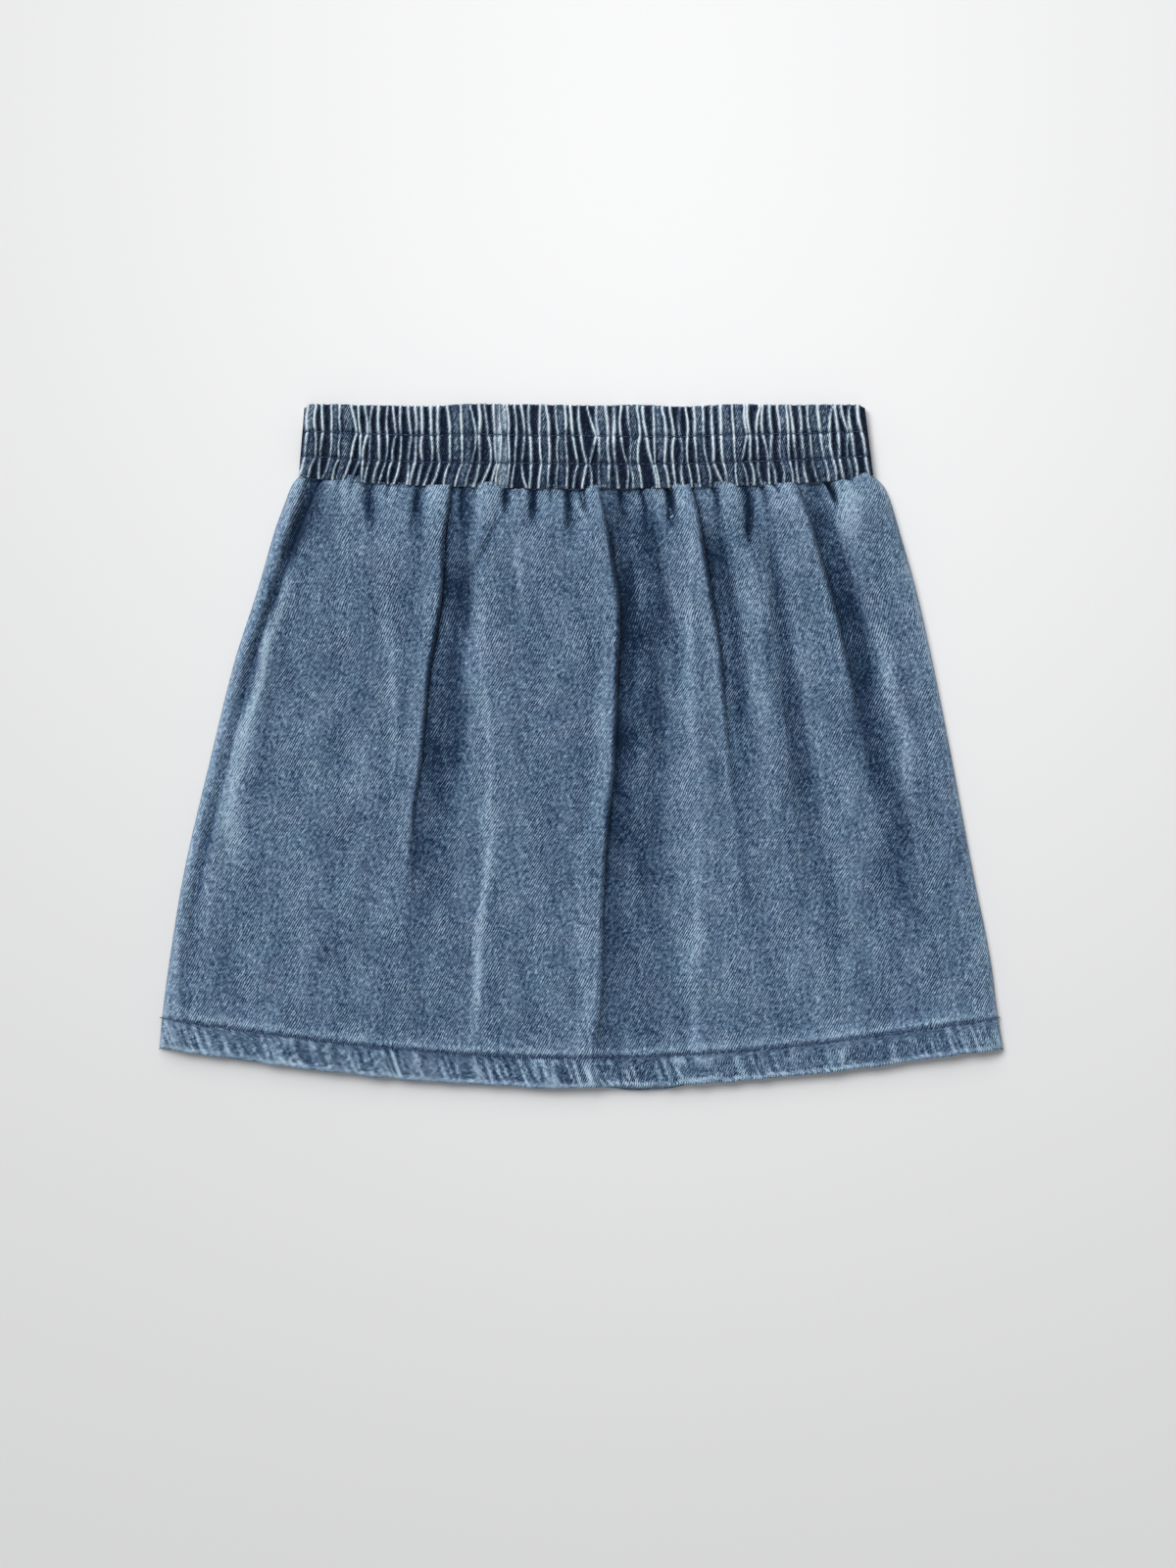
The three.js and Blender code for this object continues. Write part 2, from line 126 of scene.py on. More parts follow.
# Height of the front's outer face between its folds.
LEVELS = table(
    "down plateau",
    (0.000, 5.6),
    (0.020, 6.5),
    (0.060, 6.5),
    (0.150, 6.1),
    (0.300, 5.4),
    (0.500, 4.8),
    (0.750, 4.4),
    (0.900, 4.7),
    (0.943, 5.5),
    (1.000, 5.5),
)

# Folds. lip and crease are shares of the width at each of STATIONS down the panel, and depth is in
# mm there. A fold drops off its lip towards faces (1 is right), over drop mm, lies in a trough to
# trough mm, and rises again to a crease that stands crest times its depth proud. The pair after
# crest is how far washing has paled its lip and its crease.
STATIONS = (0.0, 0.2, 0.45, 0.7, 1.0)
LIP_SHARE = 0.22            # how far a lip stands above the level, as a share of its fold's depth
FOLD_LEAD = 9.0             # the level starts to rise this far before a lip
LIP_RELAXES = 2.0           # a lip's drop is this many times as broad at the hem
TROUGH_MOST = 0.6           # longest trough, as a share of the way to the crease
FRONT_FOLDS = [
    dict(name="left tuck", faces=-1, drop=3.0, trough=7, crest=0.0, worn=(0.9, 0.0),
         lip=(0.058, 0.040, 0.036, 0.035, 0.035), crease=(0.015, 0.012, 0.012, 0.012, 0.012),
         depth=(4.5, 3.0, 2.0, 1.5, 0.5)),
    dict(name="left pleat", faces=1, drop=2.6, trough=9, crest=0.2, worn=(0.15, 0.8),
         lip=(0.253, 0.265, 0.272, 0.279, 0.281), crease=(0.330, 0.338, 0.373, 0.379, 0.367),
         depth=(5.0, 5.5, 4.0, 0.8, 0.0)),
    dict(name="middle pleat", faces=1, drop=2.6, trough=13, crest=0.2, worn=(0.15, 0.7),
         lip=(0.506, 0.536, 0.533, 0.522, 0.513), crease=(0.640, 0.655, 0.652, 0.652, 0.635),
         depth=(5.5, 6.0, 4.8, 3.1, 1.4)),
    dict(name="right pleat", faces=1, drop=2.6, trough=8, crest=0.1, worn=(0.5, 0.2),
         lip=(0.663, 0.684, 0.694, 0.702, 0.710), crease=(0.740, 0.745, 0.750, 0.755, 0.760),
         depth=(5.5, 4.6, 1.6, 0.3, 0.0)),
    dict(name="right swell", faces=1, drop=8.0, trough=12, crest=0.0, worn=(0.4, 0.0),
         lip=(0.770, 0.766, 0.768, 0.774, 0.785), crease=(0.812, 0.815, 0.824, 0.840, 0.860),
         depth=(1.0, 1.8, 2.4, 0.8, 0.0)),
    dict(name="right tuck", faces=1, drop=2.8, trough=9, crest=0.2, worn=(0.3, 0.3),
         lip=(0.842, 0.862, 0.880, 0.900, 0.920), crease=(0.915, 0.925, 0.935, 0.945, 0.955),
         depth=(5.4, 3.4, 0.6, 0.0, 0.0)),
]
BACK_FOLDS = [
    dict(name="back left tuck", faces=1, drop=3.0, trough=8, crest=0.0, worn=(0.5, 0.4),
         lip=(0.110, 0.100, 0.095, 0.090, 0.090), crease=(0.165, 0.150, 0.140, 0.135, 0.130),
         depth=(2.6, 1.8, 1.0, 0.5, 0.0)),
    dict(name="back left pleat", faces=-1, drop=3.0, trough=9, crest=0.0, worn=(0.4, 0.7),
         lip=(0.330, 0.315, 0.305, 0.300, 0.295), crease=(0.265, 0.255, 0.255, 0.260, 0.260),
         depth=(2.8, 2.0, 1.2, 0.8, 0.0)),
    dict(name="back middle pleat", faces=1, drop=3.0, trough=9, crest=0.0, worn=(0.4, 0.8),
         lip=(0.470, 0.475, 0.480, 0.480, 0.480), crease=(0.540, 0.545, 0.540, 0.530, 0.520),
         depth=(2.8, 2.2, 1.2, 0.6, 0.0)),
    dict(name="back right pleat", faces=1, drop=3.0, trough=9, crest=0.0, worn=(0.4, 0.6),
         lip=(0.640, 0.650, 0.660, 0.670, 0.680), crease=(0.710, 0.710, 0.715, 0.715, 0.715),
         depth=(2.6, 2.0, 1.0, 0.4, 0.0)),
    dict(name="back right tuck", faces=-1, drop=3.0, trough=8, crest=0.0, worn=(0.5, 0.4),
         lip=(0.880, 0.890, 0.900, 0.905, 0.910), crease=(0.815, 0.830, 0.850, 0.860, 0.865),
         depth=(2.6, 1.8, 0.8, 0.4, 0.0)),
]

# Short gathers where a panel is eased into the waist seam: place as a share of the width, the rest
# in mm. lean is how far its foot lies to the right of its top.
FRONT_GATHERS = table(
    "place depth half run lean",
    (0.075, 0.6, 1.6, 9, 1),
    (0.100, 0.8, 1.9, 10, 1),
    (0.127, 3.4, 2.1, 20, 5.5),
    (0.158, 1.3, 1.3, 9, 2),
    (0.180, 0.9, 1.9, 10, 0.5),
    (0.209, 2.6, 1.8, 18, 3),
    (0.285, 3.4, 1.9, 18, 2.5),
    (0.361, 3, 2.1, 12, 0.8),
    (0.385, 0.5, 1.3, 8, 0.3),
    (0.409, 3.2, 1.9, 16, -0.5),
    (0.438, 1.5, 1.4, 10, 0.5),
    (0.467, 3, 2, 20, 1),
    (0.491, 2.4, 1.6, 12, 1),
    (0.556, 2.6, 1.7, 14, 0.5),
    (0.594, 3.8, 2, 28, -0.5),
    (0.641, 4, 2.2, 19, -1.5),
    (0.660, 0.5, 1.3, 9, 0.5),
    (0.715, 1.6, 1.6, 13, 0),
    (0.772, 4, 2, 30, -4.5),
    (0.800, 1.4, 1.7, 12, -1),
    (0.823, 1.3, 1.4, 6, 1),
    (0.914, 3.4, 2, 12, -1),
    (0.935, 0.5, 1.5, 8, 1),
    (0.955, 0.9, 2.1, 10, 1),
)
BACK_GATHERS = table(
    "place depth half run lean",
    (0.055, 1.6, 2.1, 14, 0),
    (0.200, 2, 2.1, 24, 0),
    (0.375, 2, 2.1, 20, 0),
    (0.425, 1.6, 2.1, 14, 0),
    (0.590, 2, 2.1, 26, 0),
    (0.750, 1.8, 2.1, 18, 0),
    (0.940, 1.6, 2.1, 14, 0),
)

# Soft creases in the front, each a line from its top to its foot, in mm. high is below 0 for a
# groove. The last column pales the cloth along it, and where below 0 darkens it: painted shade in the
# grooves.
FRONT_CREASES = table(
    "x0 y0 x1 y1 half high worn",
    (-120, 95.8, -117.6, 81, 1.8, 0.5, 0.5),
    (-86.8, 96, -89.2, 78, 1.9, 0.4, 0.8),
    (-79.6, 68, -76.6, -18, 2, 0.3, 0.85),
    (-49, 92, -50.8, 78, 2, 0.4, 0.3),
    (-35.2, 92, -44, 72, 1.7, -1.2, -1),
    (-44, 72, -46.5, 46, 2.4, -0.8, -0.8),
    (-25.6, 84, -24.8, 58, 1.5, 0.3, 0.8),
    (-37.6, 20, -36, -34, 1.4, 0.3, 0.7),
    (-36.5, -30, -44.5, -112, 1.8, 0.3, 1.3),
    (-34, -42, -33, -72, 1, 0, 0.6),
    (6.5, 30, 2, -60, 3.2, 0, 0.5),
    (2, -60, -1.2, -126, 3.8, 0, 0.8),
    (47, -50, 47, -125, 2.6, 0, 0.8),
    (106, -74, 110, -125, 8, 0, 0.6),
    (45.2, 84, 44.4, 10, 1.4, 0.2, 0.6),
    (108, 60, 130, -62, 8, -0.2, -1.5),
    (104, 102, 111, 86, 5.5, 0, 1.3),
    (146, 0, 152, -60, 5, 0, -0.6),
    (-105, 122, -116, 78, 4.6, -0.9, -3.2),
    (-114, 104, -121.5, 84, 1.8, 0.5, 0.9),
    (-118, 72, -128, 38, 1.2, 0.2, 1),
    (28.4, 87, 31, 63.8, 2.6, -0.9, -0.3),
    (30.4, 87.4, 34, 53.4, 3.4, -1, -0.2),
    (34, 53.4, 37.2, 21.8, 3.8, -0.8, -0.2),
    (24, 73, 24.8, 54.6, 1.8, 0.6, 0.5),
    (68.4, 85, 67.2, 73, 2, 0.4, 0.4),
    (77.6, 68, 81.6, 17, 3.5, 0.5, 0.3),
    (121, 52, 133.2, 0, 2.4, 0.3, 0.9),
    (133.2, 4, 136.5, -32, 3, 0.3, 0.8),
    (131.6, 74.6, 136.4, 61, 1.4, 0.4, 0.6),
    (136.4, 61, 147.2, 17.4, 1.4, 0.4, 0.5),
    (-166, -75.8, -163, -111.8, 1.2, 0.2, 0.8),
    (-125, 52, -135, 8, 1.5, 0.3, 2),
    (-134, 12, -144.5, -46, 4.2, 0.2, 1.9),
    (-108, 40, -112, -30, 5, 0.3, 0.1),
    (-96, -40, -93, -95, 6, -0.3, -0.1),
    (-8, 20, -12, -60, 6, -0.3, -0.1),
    (66, -40, 71, -105, 6, 0.3, 0.1),
    (112, -60, 117, -112, 4, -0.4, -0.2),
)
BACK_CREASES = table(
    "x0 y0 x1 y1 half high worn",
    (-90, 88, -96, 40, 2.4, 0.5, 0.6),
    (-20, 84, -24, 30, 2.6, 0.5, 0.6),
    (35, 80, 38, -20, 3, 0.5, 0.7),
    (100, 70, 118, -30, 2.4, 0.4, 0.6),
    (-60, 10, -68, -90, 4, 0.3, 0.4),
)


# ---------------------------------------------------------------- reading the tables

def read(rows, column, down):
    """A table's column at places down the panel, on a smooth curve through its rows."""
    knots, values = rows["down"], rows[column]
    count = len(knots)
    before = np.maximum(np.arange(count) - 1, 0)
    after = np.minimum(np.arange(count) + 1, count - 1)
    slopes = (values[after] - values[before]) / (knots[after] - knots[before])
    down = np.asarray(down, float)
    row = np.clip(np.searchsorted(knots, down, side="right") - 1, 0, count - 2)
    span = knots[row + 1] - knots[row]
    t = np.clip((down - knots[row]) / span, 0, 1)
    start, end = slopes[row] * span, slopes[row + 1] * span
    rise = values[row + 1] - values[row]
    return values[row] + t * (start + t * (3 * rise - 2 * start - end + t * (start + end - 2 * rise)))


def at_station(values, down):
    return read({"down": np.array(STATIONS), "value": np.array(values, float)}, "value", down)


def smoothstep(value, low, high):
    t = np.clip((value - low) / (high - low), 0, 1)
    return t * t * (3 - 2 * t)


def fading(value, low, high):
    return 1 - smoothstep(value, low, high)


def mix(low, high, share):
    return low + (high - low) * share


def bell(distance, half, power=2):
    """A smooth bump: 1 at no distance, about a third at half, and flatter on top for a higher power."""
    return np.exp(-np.abs(distance / half) ** power)


def rounded(share):
    """A quarter circle: 0 at 0, with a steep start, and 1 at 1."""
    return np.sqrt(1 - (1 - np.clip(share, 0, 1)) ** 2)


def cloth_noise(x, y, size_x, size_y, seed):
    """Smooth noise from -1 to 1 whose features have a given size."""
    cells = 256
    lattice = np.random.default_rng(seed).uniform(-1, 1, (cells, cells))
    gx, gy = x / size_x + cells / 2, y / size_y + cells / 2
    ix, iy = np.floor(gx).astype(int), np.floor(gy).astype(int)
    tx, ty = smoothstep(gx - ix, 0, 1), smoothstep(gy - iy, 0, 1)
    ix, iy = ix % cells, iy % cells
    jx, jy = (ix + 1) % cells, (iy + 1) % cells
    low = mix(lattice[iy, ix], lattice[iy, jx], tx)
    high = mix(lattice[jy, ix], lattice[jy, jx], tx)
    return mix(low, high, ty)


def soften(field, rows, columns):
    """The field averaged over a neighbourhood, twice."""
    for _ in range(2):
        for axis, reach in ((0, rows), (1, columns)):
            pad = [(0, 0), (0, 0)]
            pad[axis] = (reach + 1, reach)
            sums = np.cumsum(np.pad(field, pad, mode="edge"), axis=axis)
            size = field.shape[axis]
            high = np.take(sums, np.arange(2 * reach + 1, 2 * reach + 1 + size), axis=axis)
            low = np.take(sums, np.arange(size), axis=axis)
            field = (high - low) / (2 * reach + 1)
    return field


# ---------------------------------------------------------------- the laid outline

def bow(across):
    return np.sin(math.pi * np.clip(across, 0, 1))


def seam_y(across):
    return mix(SEAM_Y["side"], SEAM_Y["middle"], np.sqrt(bow(across)))


def hem_y(across):
    return mix(HEM_Y["side"], HEM_Y["middle"], bow(across))


def edges(down):
    left, right = read(OUTLINE, "left", down), read(OUTLINE, "right", down)
    return left, right, right - left


def column_starts(lips, gathers, columns):
    """Shares of the waist at which columns start: close together at lips and at gathers."""
    fine = np.linspace(0, 1, 4000)
    closeness = 1 + sum(2.2 * bell(fine - lip, 0.010) for lip in lips)
    closeness += sum((1.7 * bell(fine - place, 0.006) for place in gathers), 0 * fine)
    share = np.cumsum(closeness) - closeness[0]
    return np.interp(np.linspace(0, 1, columns), share / share[-1], fine)


def flow(folds, start, down):
    """Where a column that starts at a share of the waist lies further down: along the folds."""
    lines = sorted((line for fold in folds for line in (fold["lip"], fold["crease"])), key=lambda l: l[0])
    tops = [0.0] + [line[0] for line in lines] + [1.0]
    across = np.empty_like(start)
    for row, place in enumerate(down):
        here = [0.0] + [float(at_station(line, place)) for line in lines] + [1.0]
        across[row] = np.interp(start[row], tops, here)
    return across


# ---------------------------------------------------------------- folds of the panels

def fold_height(fold, past, down, reach):
    """Height that a fold adds at a distance past its lip."""
    depth = at_station(fold["depth"], down)
    lip, floor, crest = LIP_SHARE * depth, (LIP_SHARE - 1) * depth, fold["crest"] * depth
    trough = np.minimum(fold["trough"], TROUGH_MOST * reach)
    drop = fold["drop"] * mix(1.0, LIP_RELAXES, smoothstep(down, 0.5, 0.95))
    before = lip * smoothstep(past, -FOLD_LEAD, 0)
    falling = mix(lip, floor, smoothstep(past, 0, drop))
    rising = mix(floor, crest, smoothstep((past - trough) / (reach - trough), 0, 1))
    after = crest * fading(past - reach, 0, 2 * FOLD_LEAD)
    bands = [past < 0, past < drop, past < trough, past < reach]
    return np.select(bands, [before, falling, floor + 0 * past, rising], after)


def crease_strength(rows, index, x, y):
    """How strongly one soft crease is felt at each point, from 0 to 1."""
    x0, y0, x1, y1, half = (rows[name][index] for name in ("x0", "y0", "x1", "y1", "half"))
    length = math.hypot(x1 - x0, y1 - y0)
    along = ((x - x0) * (x1 - x0) + (y - y0) * (y1 - y0)) / length ** 2
    beside = ((x - x0) * (y1 - y0) - (y - y0) * (x1 - x0)) / length
    bend = half * cloth_noise(y, y * 0 + index, 26, 1, 70 + index)
    fade = smoothstep(along, -0.25, 0.25) * fading(along, 0.75, 1.25)
    return fade * bell(beside + bend, half)


class Panel:
    """A panel's laid grid, with its folds' height, how far washing has paled each point and where painted
    shade darkens it.
    """

    def __init__(self, folds, gathers, creases, columns, down, seed):
        self.down = down[:, None]
        lips = [fold["lip"][0] for fold in folds]
        gathered = column_starts(lips, gathers["place"], columns)
        plain = column_starts(lips, [], columns)
        start = mix(gathered, plain, smoothstep(self.down, 0.04, 0.3))
        self.across = flow(folds, start, down)
        left, right, self.width = edges(self.down)
        self.x = mix(left, right, self.across)
        top, bottom = seam_y(self.across) - SEAM_GAP / 2, hem_y(self.across)
        self.y = mix(top, bottom, self.down)
        self.length = top - bottom
        self.below_seam = self.down * self.length
        self.above_hem = (1 - self.down) * self.length
        self.inside = np.minimum(self.across, 1 - self.across) * self.width
        self.seed = seed
        self.relief = np.zeros_like(self.x)
        self.worn = np.zeros_like(self.x)
        self.lean = np.zeros_like(self.x)
        self.slit = np.zeros_like(self.x)
        for index, fold in enumerate(folds):
            self.add_fold(fold, index)
        for index in range(len(gathers["place"])):
            self.add_gather(gathers, index)
        for index in range(len(creases["x0"])):
            strength = crease_strength(creases, index, self.x, self.y)
            self.relief += creases["high"][index] * strength
            # Negative entries here paint shade along the grooves.
            self.worn += creases["worn"][index] * strength

    def noise(self, size_x, size_y, seed):
        return cloth_noise(self.x, self.y, size_x, size_y, seed)

    def noise_across(self, size, seed):
        """Noise that is the same all the way down the panel."""
        return cloth_noise(self.x, 0 * self.y, size, 1, seed)

    def add_fold(self, fold, index):
        lip = at_station(fold["lip"], self.down)
        reach = np.abs(at_station(fold["crease"], self.down) - lip) * self.width
        wander = 0.9 * cloth_noise(self.y, 0 * self.y + index, 30, 1, self.seed + index)
        past = (self.across - lip) * self.width * fold["faces"] + wander * smoothstep(self.down, 0, 0.1)
        self.relief += fold_height(fold, past, self.down, reach)
        depth = at_station(fold["depth"], self.down)
        on_lip, on_crease = fold["worn"]
        patchy = 0.65 + 0.5 * self.noise(5, 16, self.seed + 40 + index)
        self.worn += on_lip * bell(past + 1.6, 1.7) * (0.35 + 0.65 * (depth / max(fold["depth"]))) * patchy
        below_waist = smoothstep(self.down, 0.13, 0.25)
        self.worn += on_crease * below_waist * bell(past - reach, 2.0) * patchy
        # Darker in the trough and most of all just past the lip: partly indigo that washing leaves, partly
        # painted shade where the lip's shadow falls.
        beyond = smoothstep(past, -0.5, 0.4)
        opening = mix(0.3, 1, smoothstep(self.down, 0.02, 0.15))
        broad = beyond * fading(past / reach, 0.25, 1.0) * opening
        close = beyond * bell(past, 0.22 * reach)
        unwashed_and_painted_shade = UNWASHED_AND_SHADED["trough"] * broad + UNWASHED_AND_SHADED["under_lip"] * close
        self.worn -= unwashed_and_painted_shade * depth * patchy
        self.lean += OVERHANG * fold["faces"] * depth * bell(past - 0.3 * fold["drop"], 2.2)

    def add_gather(self, gathers, index):
        place, depth, half, run, lean = (gathers[name][index] for name in gathers)
        share = self.below_seam / run
        beside = (self.across - place) * self.width - lean * share
        fade = fading(share, 0.15, 1)
        narrow = half * (0.38 + 0.22 * share)
        groove = fade * bell(beside, narrow, 1.5)
        pinch = PINCH["deep"] * depth * (depth / PINCH["usual"]) ** PINCH["power"]
        self.relief -= pinch * groove
        # Painted shade darkens the groove here and the broad dip round it below.
        self.worn -= PINCH["dark"] * pinch * groove
        hollow = fading(share, 0, HOLLOW["run"]) * bell(beside, HOLLOW["width"] * half)
        self.relief -= HOLLOW["deep"] * depth * hollow
        self.worn -= HOLLOW["dark"] * depth * hollow
        self.worn += 0.4 * fade * bell(beside + 1.4 * half, 0.9 * half)
        strength = np.clip(depth / 2.4, 0.35, 1)
        self.slit = np.maximum(self.slit, bell(beside, 0.9 * half) * strength)


def hem_puckers(panel, seed):
    """Slanting ropes that twist a turned-up hem, from 0 to 1, and where the hem has them."""
    slanted = panel.x + HEM_PUCKER["slant"] * panel.above_hem
    phase = slanted / HEM_PUCKER["pitch"] + 1.3 * cloth_noise(slanted, 0 * panel.y, 8, 1, seed)
    strong = 0.62 + 0.38 * panel.noise_across(13, seed + 1)
    above = panel.above_hem
    band = smoothstep(above, -0.5, 2.0) * fading(above, HEM_DEPTH - 2.2, HEM_DEPTH)
    rope = (0.5 + 0.5 * np.sin(2 * math.pi * phase)) ** 1.7
    return rope * strong, band


def hem_wear(panel, pucker, seed):
    """How washing has paled the hem: its ropes most, in broken patches."""
    slanted = panel.x + HEM_PUCKER["slant"] * panel.above_hem
    broken = cloth_noise(slanted, panel.above_hem, 0.9, 6.0, seed)
    patch = panel.noise(9, 6, seed + 1)
    rim = bell(panel.above_hem, 1.5) * (1 + 0.6 * broken)
    low = fading(panel.above_hem, 2, 9)
    ropes = pucker * (0.7 + 0.8 * broken + 0.3 * patch) * (1.6 + 1.1 * low)
    strength = mix(1.3, 1.05, smoothstep(panel.x, -60, 60))
    under_stitches = smoothstep(panel.above_hem, HEM_DEPTH - 4.5, HEM_DEPTH)
    faded = ropes + HEM_WORN["broken"] * broken + HEM_WORN["patch"] * patch - HEM_WORN["start"]
    faded = np.maximum(faded, HEM_DARKEST) * strength
    return faded - HEM_WORN["under_stitches"] * under_stitches + HEM_WORN["rim"] * rim


def panel_wear_and_shade(panel, height, seed):
    """Paler where the cloth stands proud, darker in the troughs (partly unwashed indigo, partly painted
    shade), and patchy all over.
    """
    proud = height - soften(height, 5, 7)
    fine = 0.30 * panel.noise(4, 9, seed) + 0.22 * panel.noise(13, 30, seed + 1)
    worn = panel.worn + np.clip(1.3 * proud, -1.2, 0.4) + 0.6 * fine
    # A pale rim at the hem and the side edges: rubbed wear, and at the sides also a painted highlight on the
    # rolled edge.
    edge = EDGE_WEAR_AND_HIGHLIGHT["hem"] * bell(panel.above_hem, 1.1) + EDGE_WEAR_AND_HIGHLIGHT["side"] * bell(panel.inside, 1.7)
    beyond_stitches = bell(panel.above_hem - HEM_DEPTH - 2.2, 1.0)
    beside_stitches = bell(panel.above_hem - HEM_DEPTH, 1.0)
    stitched = EDGE_WEAR_AND_HIGHLIGHT["stitches"]
    worn += edge * (0.7 + 0.6 * fine) + stitched * beyond_stitches - stitched * beside_stitches
    worn += EDGE_WEAR_AND_HIGHLIGHT["seam"] * bell(panel.below_seam - 4.0, 7.0) * (1 - panel.slit)
    return worn


# ---------------------------------------------------------------- meshes

def along_row(points):
    """Distance along each row of a grid, from its middle."""
    steps = np.linalg.norm(np.diff(points, axis=1), axis=2)
    length = np.concatenate([np.zeros((len(points), 1)), np.cumsum(steps, axis=1)], axis=1)
    return length - length[:, [length.shape[1] // 2]]


def normals(points):
    """Unit normals of a grid of points, towards +Z where it lies flat."""
    down = np.gradient(points, axis=0)
    right = np.gradient(points, axis=1)
    normal = np.cross(right, -down)
    return normal / np.maximum(np.linalg.norm(normal, axis=2, keepdims=True), 1e-9)


def numbers(grid, first):
    """A grid's vertex numbers, from a first one."""
    rows, columns = grid.shape[:2]
    return first + np.arange(rows * columns).reshape(rows, columns)


def squares(number):
    """The four-sided faces of a grid of vertex numbers."""
    corners = [number[:-1, :-1], number[1:, :-1], number[1:, 1:], number[:-1, 1:]]
    return np.stack(corners, axis=-1).reshape(-1, 4)


def border(number):
    """The vertex numbers round a grid's edge, in four lines that run anticlockwise."""
    return [number[0, ::-1], number[:, 0], number[-1], number[::-1, -1]]


def ribbon(line_a, line_b):
    """Triangles between two lines of vertex numbers, which may have different counts."""
    triangles = []
    a = b = 0
    last_a, last_b = len(line_a) - 1, len(line_b) - 1
    while a < last_a or b < last_b:
        if (a + 1) / last_a <= (b + 1) / last_b:
            triangles.append((line_a[a + 1], line_a[a], line_b[b]))
            a += 1
        else:
            triangles.append((line_a[a], line_b[b], line_b[b + 1]))
            b += 1
    return triangles


def into_scene(name, data):
    """A new object in the scene that holds a mesh, a light or a camera."""
    made = bpy.data.objects.new(name, data)
    bpy.context.collection.objects.link(made)
    return made


def wall(name, upper, lower, upper_data, lower_data, material):
    """One closed shell between two grids of points. Each data holds uv, in mm, and each point's paling by
    wear and darkening by painted shade.
    """
    points = np.concatenate([upper.reshape(-1, 3), lower.reshape(-1, 3)]) * MM
    above = numbers(upper, 0)
    below = numbers(lower, above.size)
    faces = squares(above).tolist() + squares(below)[:, ::-1].tolist()
    for upper_line, lower_line in zip(border(above), border(below)):
        faces += [tuple(int(v) for v in face) for face in ribbon(upper_line, lower_line)]
    mesh = bpy.data.meshes.new(name)
    mesh.from_pydata(points.tolist(), [], faces)
    uv = np.concatenate([data["uv"].reshape(-1, 2) for data in (upper_data, lower_data)])
    worn = np.concatenate([data["worn"].reshape(-1) for data in (upper_data, lower_data)])
    corners = np.empty(len(mesh.loops), int)
    mesh.loops.foreach_get("vertex_index", corners)
    mesh.uv_layers.new(name="cloth").data.foreach_set("uv", (uv[corners] * MM).ravel())
    mesh.attributes.new("worn", "FLOAT", "POINT").data.foreach_set("value", worn.astype(np.float32))
    mesh.polygons.foreach_set("use_smooth", [True] * len(mesh.polygons))
    mesh.validate()
    mesh.update()
    piece = into_scene(name, mesh)
    mesh.materials.append(material)
    return piece


def thinned(grid, step):
    """Every few rows and columns of a grid, and always its last ones."""
    kept = [np.unique(np.append(np.arange(0, count, step), count - 1)) for count in grid.shape[:2]]
    return grid[np.ix_(*kept)]


def cloth_data(points, worn, below_seam):
    """UV in mm along and up the cloth. Rows in the gathers take the slack of the row just below them."""
    slack = along_row(points) - points[:, :, 0]
    settled = int(np.argmax(below_seam[:, 0] > GATHERS_END))
    slack[:settled] = slack[settled]
    uv = np.stack([points[:, :, 0] + slack, points[:, :, 1]], axis=-1)
    return {"uv": uv, "worn": worn}


# ---------------------------------------------------------------- the panels

def panel_rows(fine_top, body, hem):
    """Places down a panel: close together under the seam and in the hem."""
    top_end, hem_top = 0.06, HEM_START - 0.012
    return np.concatenate([
        top_end * np.linspace(0, 1, fine_top, endpoint=False) ** 1.5,
        np.linspace(top_end, hem_top, body, endpoint=False),
        np.linspace(hem_top, 1, hem),
    ])


def back_relief(panel):
    """How far the back's folds rise off the surface that it lies on."""
    most = 2.2 * fading(panel.down, 0.75, HEM_START)
    return np.clip(-panel.relief, 0, most)


def front_heights(panel, back_at):
    """The front's outer face, lying on the back, with puckers, soft unevenness and rounded edges."""
    level = read(LEVELS, "plateau", panel.down) + panel.relief
    for rise, size_x, size_y, seed in UNEVEN:
        level = level + rise * panel.noise(size_x, size_y, seed)
    lowest = back_at + np.where(panel.down < HEM_START, OVER_BACK["panel"], OVER_BACK["hem"])
    top = lowest + np.logaddexp(0, 4 * (level - lowest)) / 4
    pucker, in_hem = hem_puckers(panel, 3)
    top = top + HEM_PUCKER["height"] * (2 * pucker - 0.9) * in_hem
    top = top - 0.45 * bell(panel.above_hem - HEM_DEPTH, 0.8)
    top = top + 0.25 * bell(panel.above_hem - HEM_DEPTH - 2.4, 1.2)
    top = mix(SEAM_Z, top, rounded(panel.below_seam / 2.6))
    top = mix(SIDE_Z, top, rounded(panel.inside / SIDE_ROLL))
    return top, pucker, in_hem


def rolled_hem(points, turn_z):
    """Rows that carry a grid round a folded hem edge, down or up to turn_z."""
    edge = points[-1]
    sign = np.sign(turn_z - edge[:, 2])
    rows = []
    for angle in np.linspace(0, math.pi / 2, 6)[1:]:
        row = edge.copy()
        row[:, 1] = edge[:, 1] - HEM_ROLL * math.sin(angle)
        row[:, 2] = edge[:, 2] + sign * HEM_ROLL * (1 - math.cos(angle))
        rows.append(row)
    last = rows[-1].copy()
    last[:, 2] = turn_z
    rows.append(last)
    return np.concatenate([points, np.array(rows)])


def lengthened(field, rows):
    """A field with its last row repeated to give it more rows."""
    return np.concatenate([field, np.repeat(field[-1:], rows - len(field), axis=0)])


def seam_puffs(panel):
    """How far the cloth between two gathers bulges up over the casing's lower edge."""
    most = PUFF_RISE * (0.66 + 0.40 * panel.noise_across(9, 31))
    most = most + BIG_PUFF["rise"] * bell(panel.x - BIG_PUFF["x"], BIG_PUFF["half"], 4)
    bulging = smoothstep(panel.below_seam, 0, 0.9) * fading(panel.below_seam, 0.9, 7.0)
    return most * bulging * (1 - panel.slit) * smoothstep(panel.inside, 0, 5)


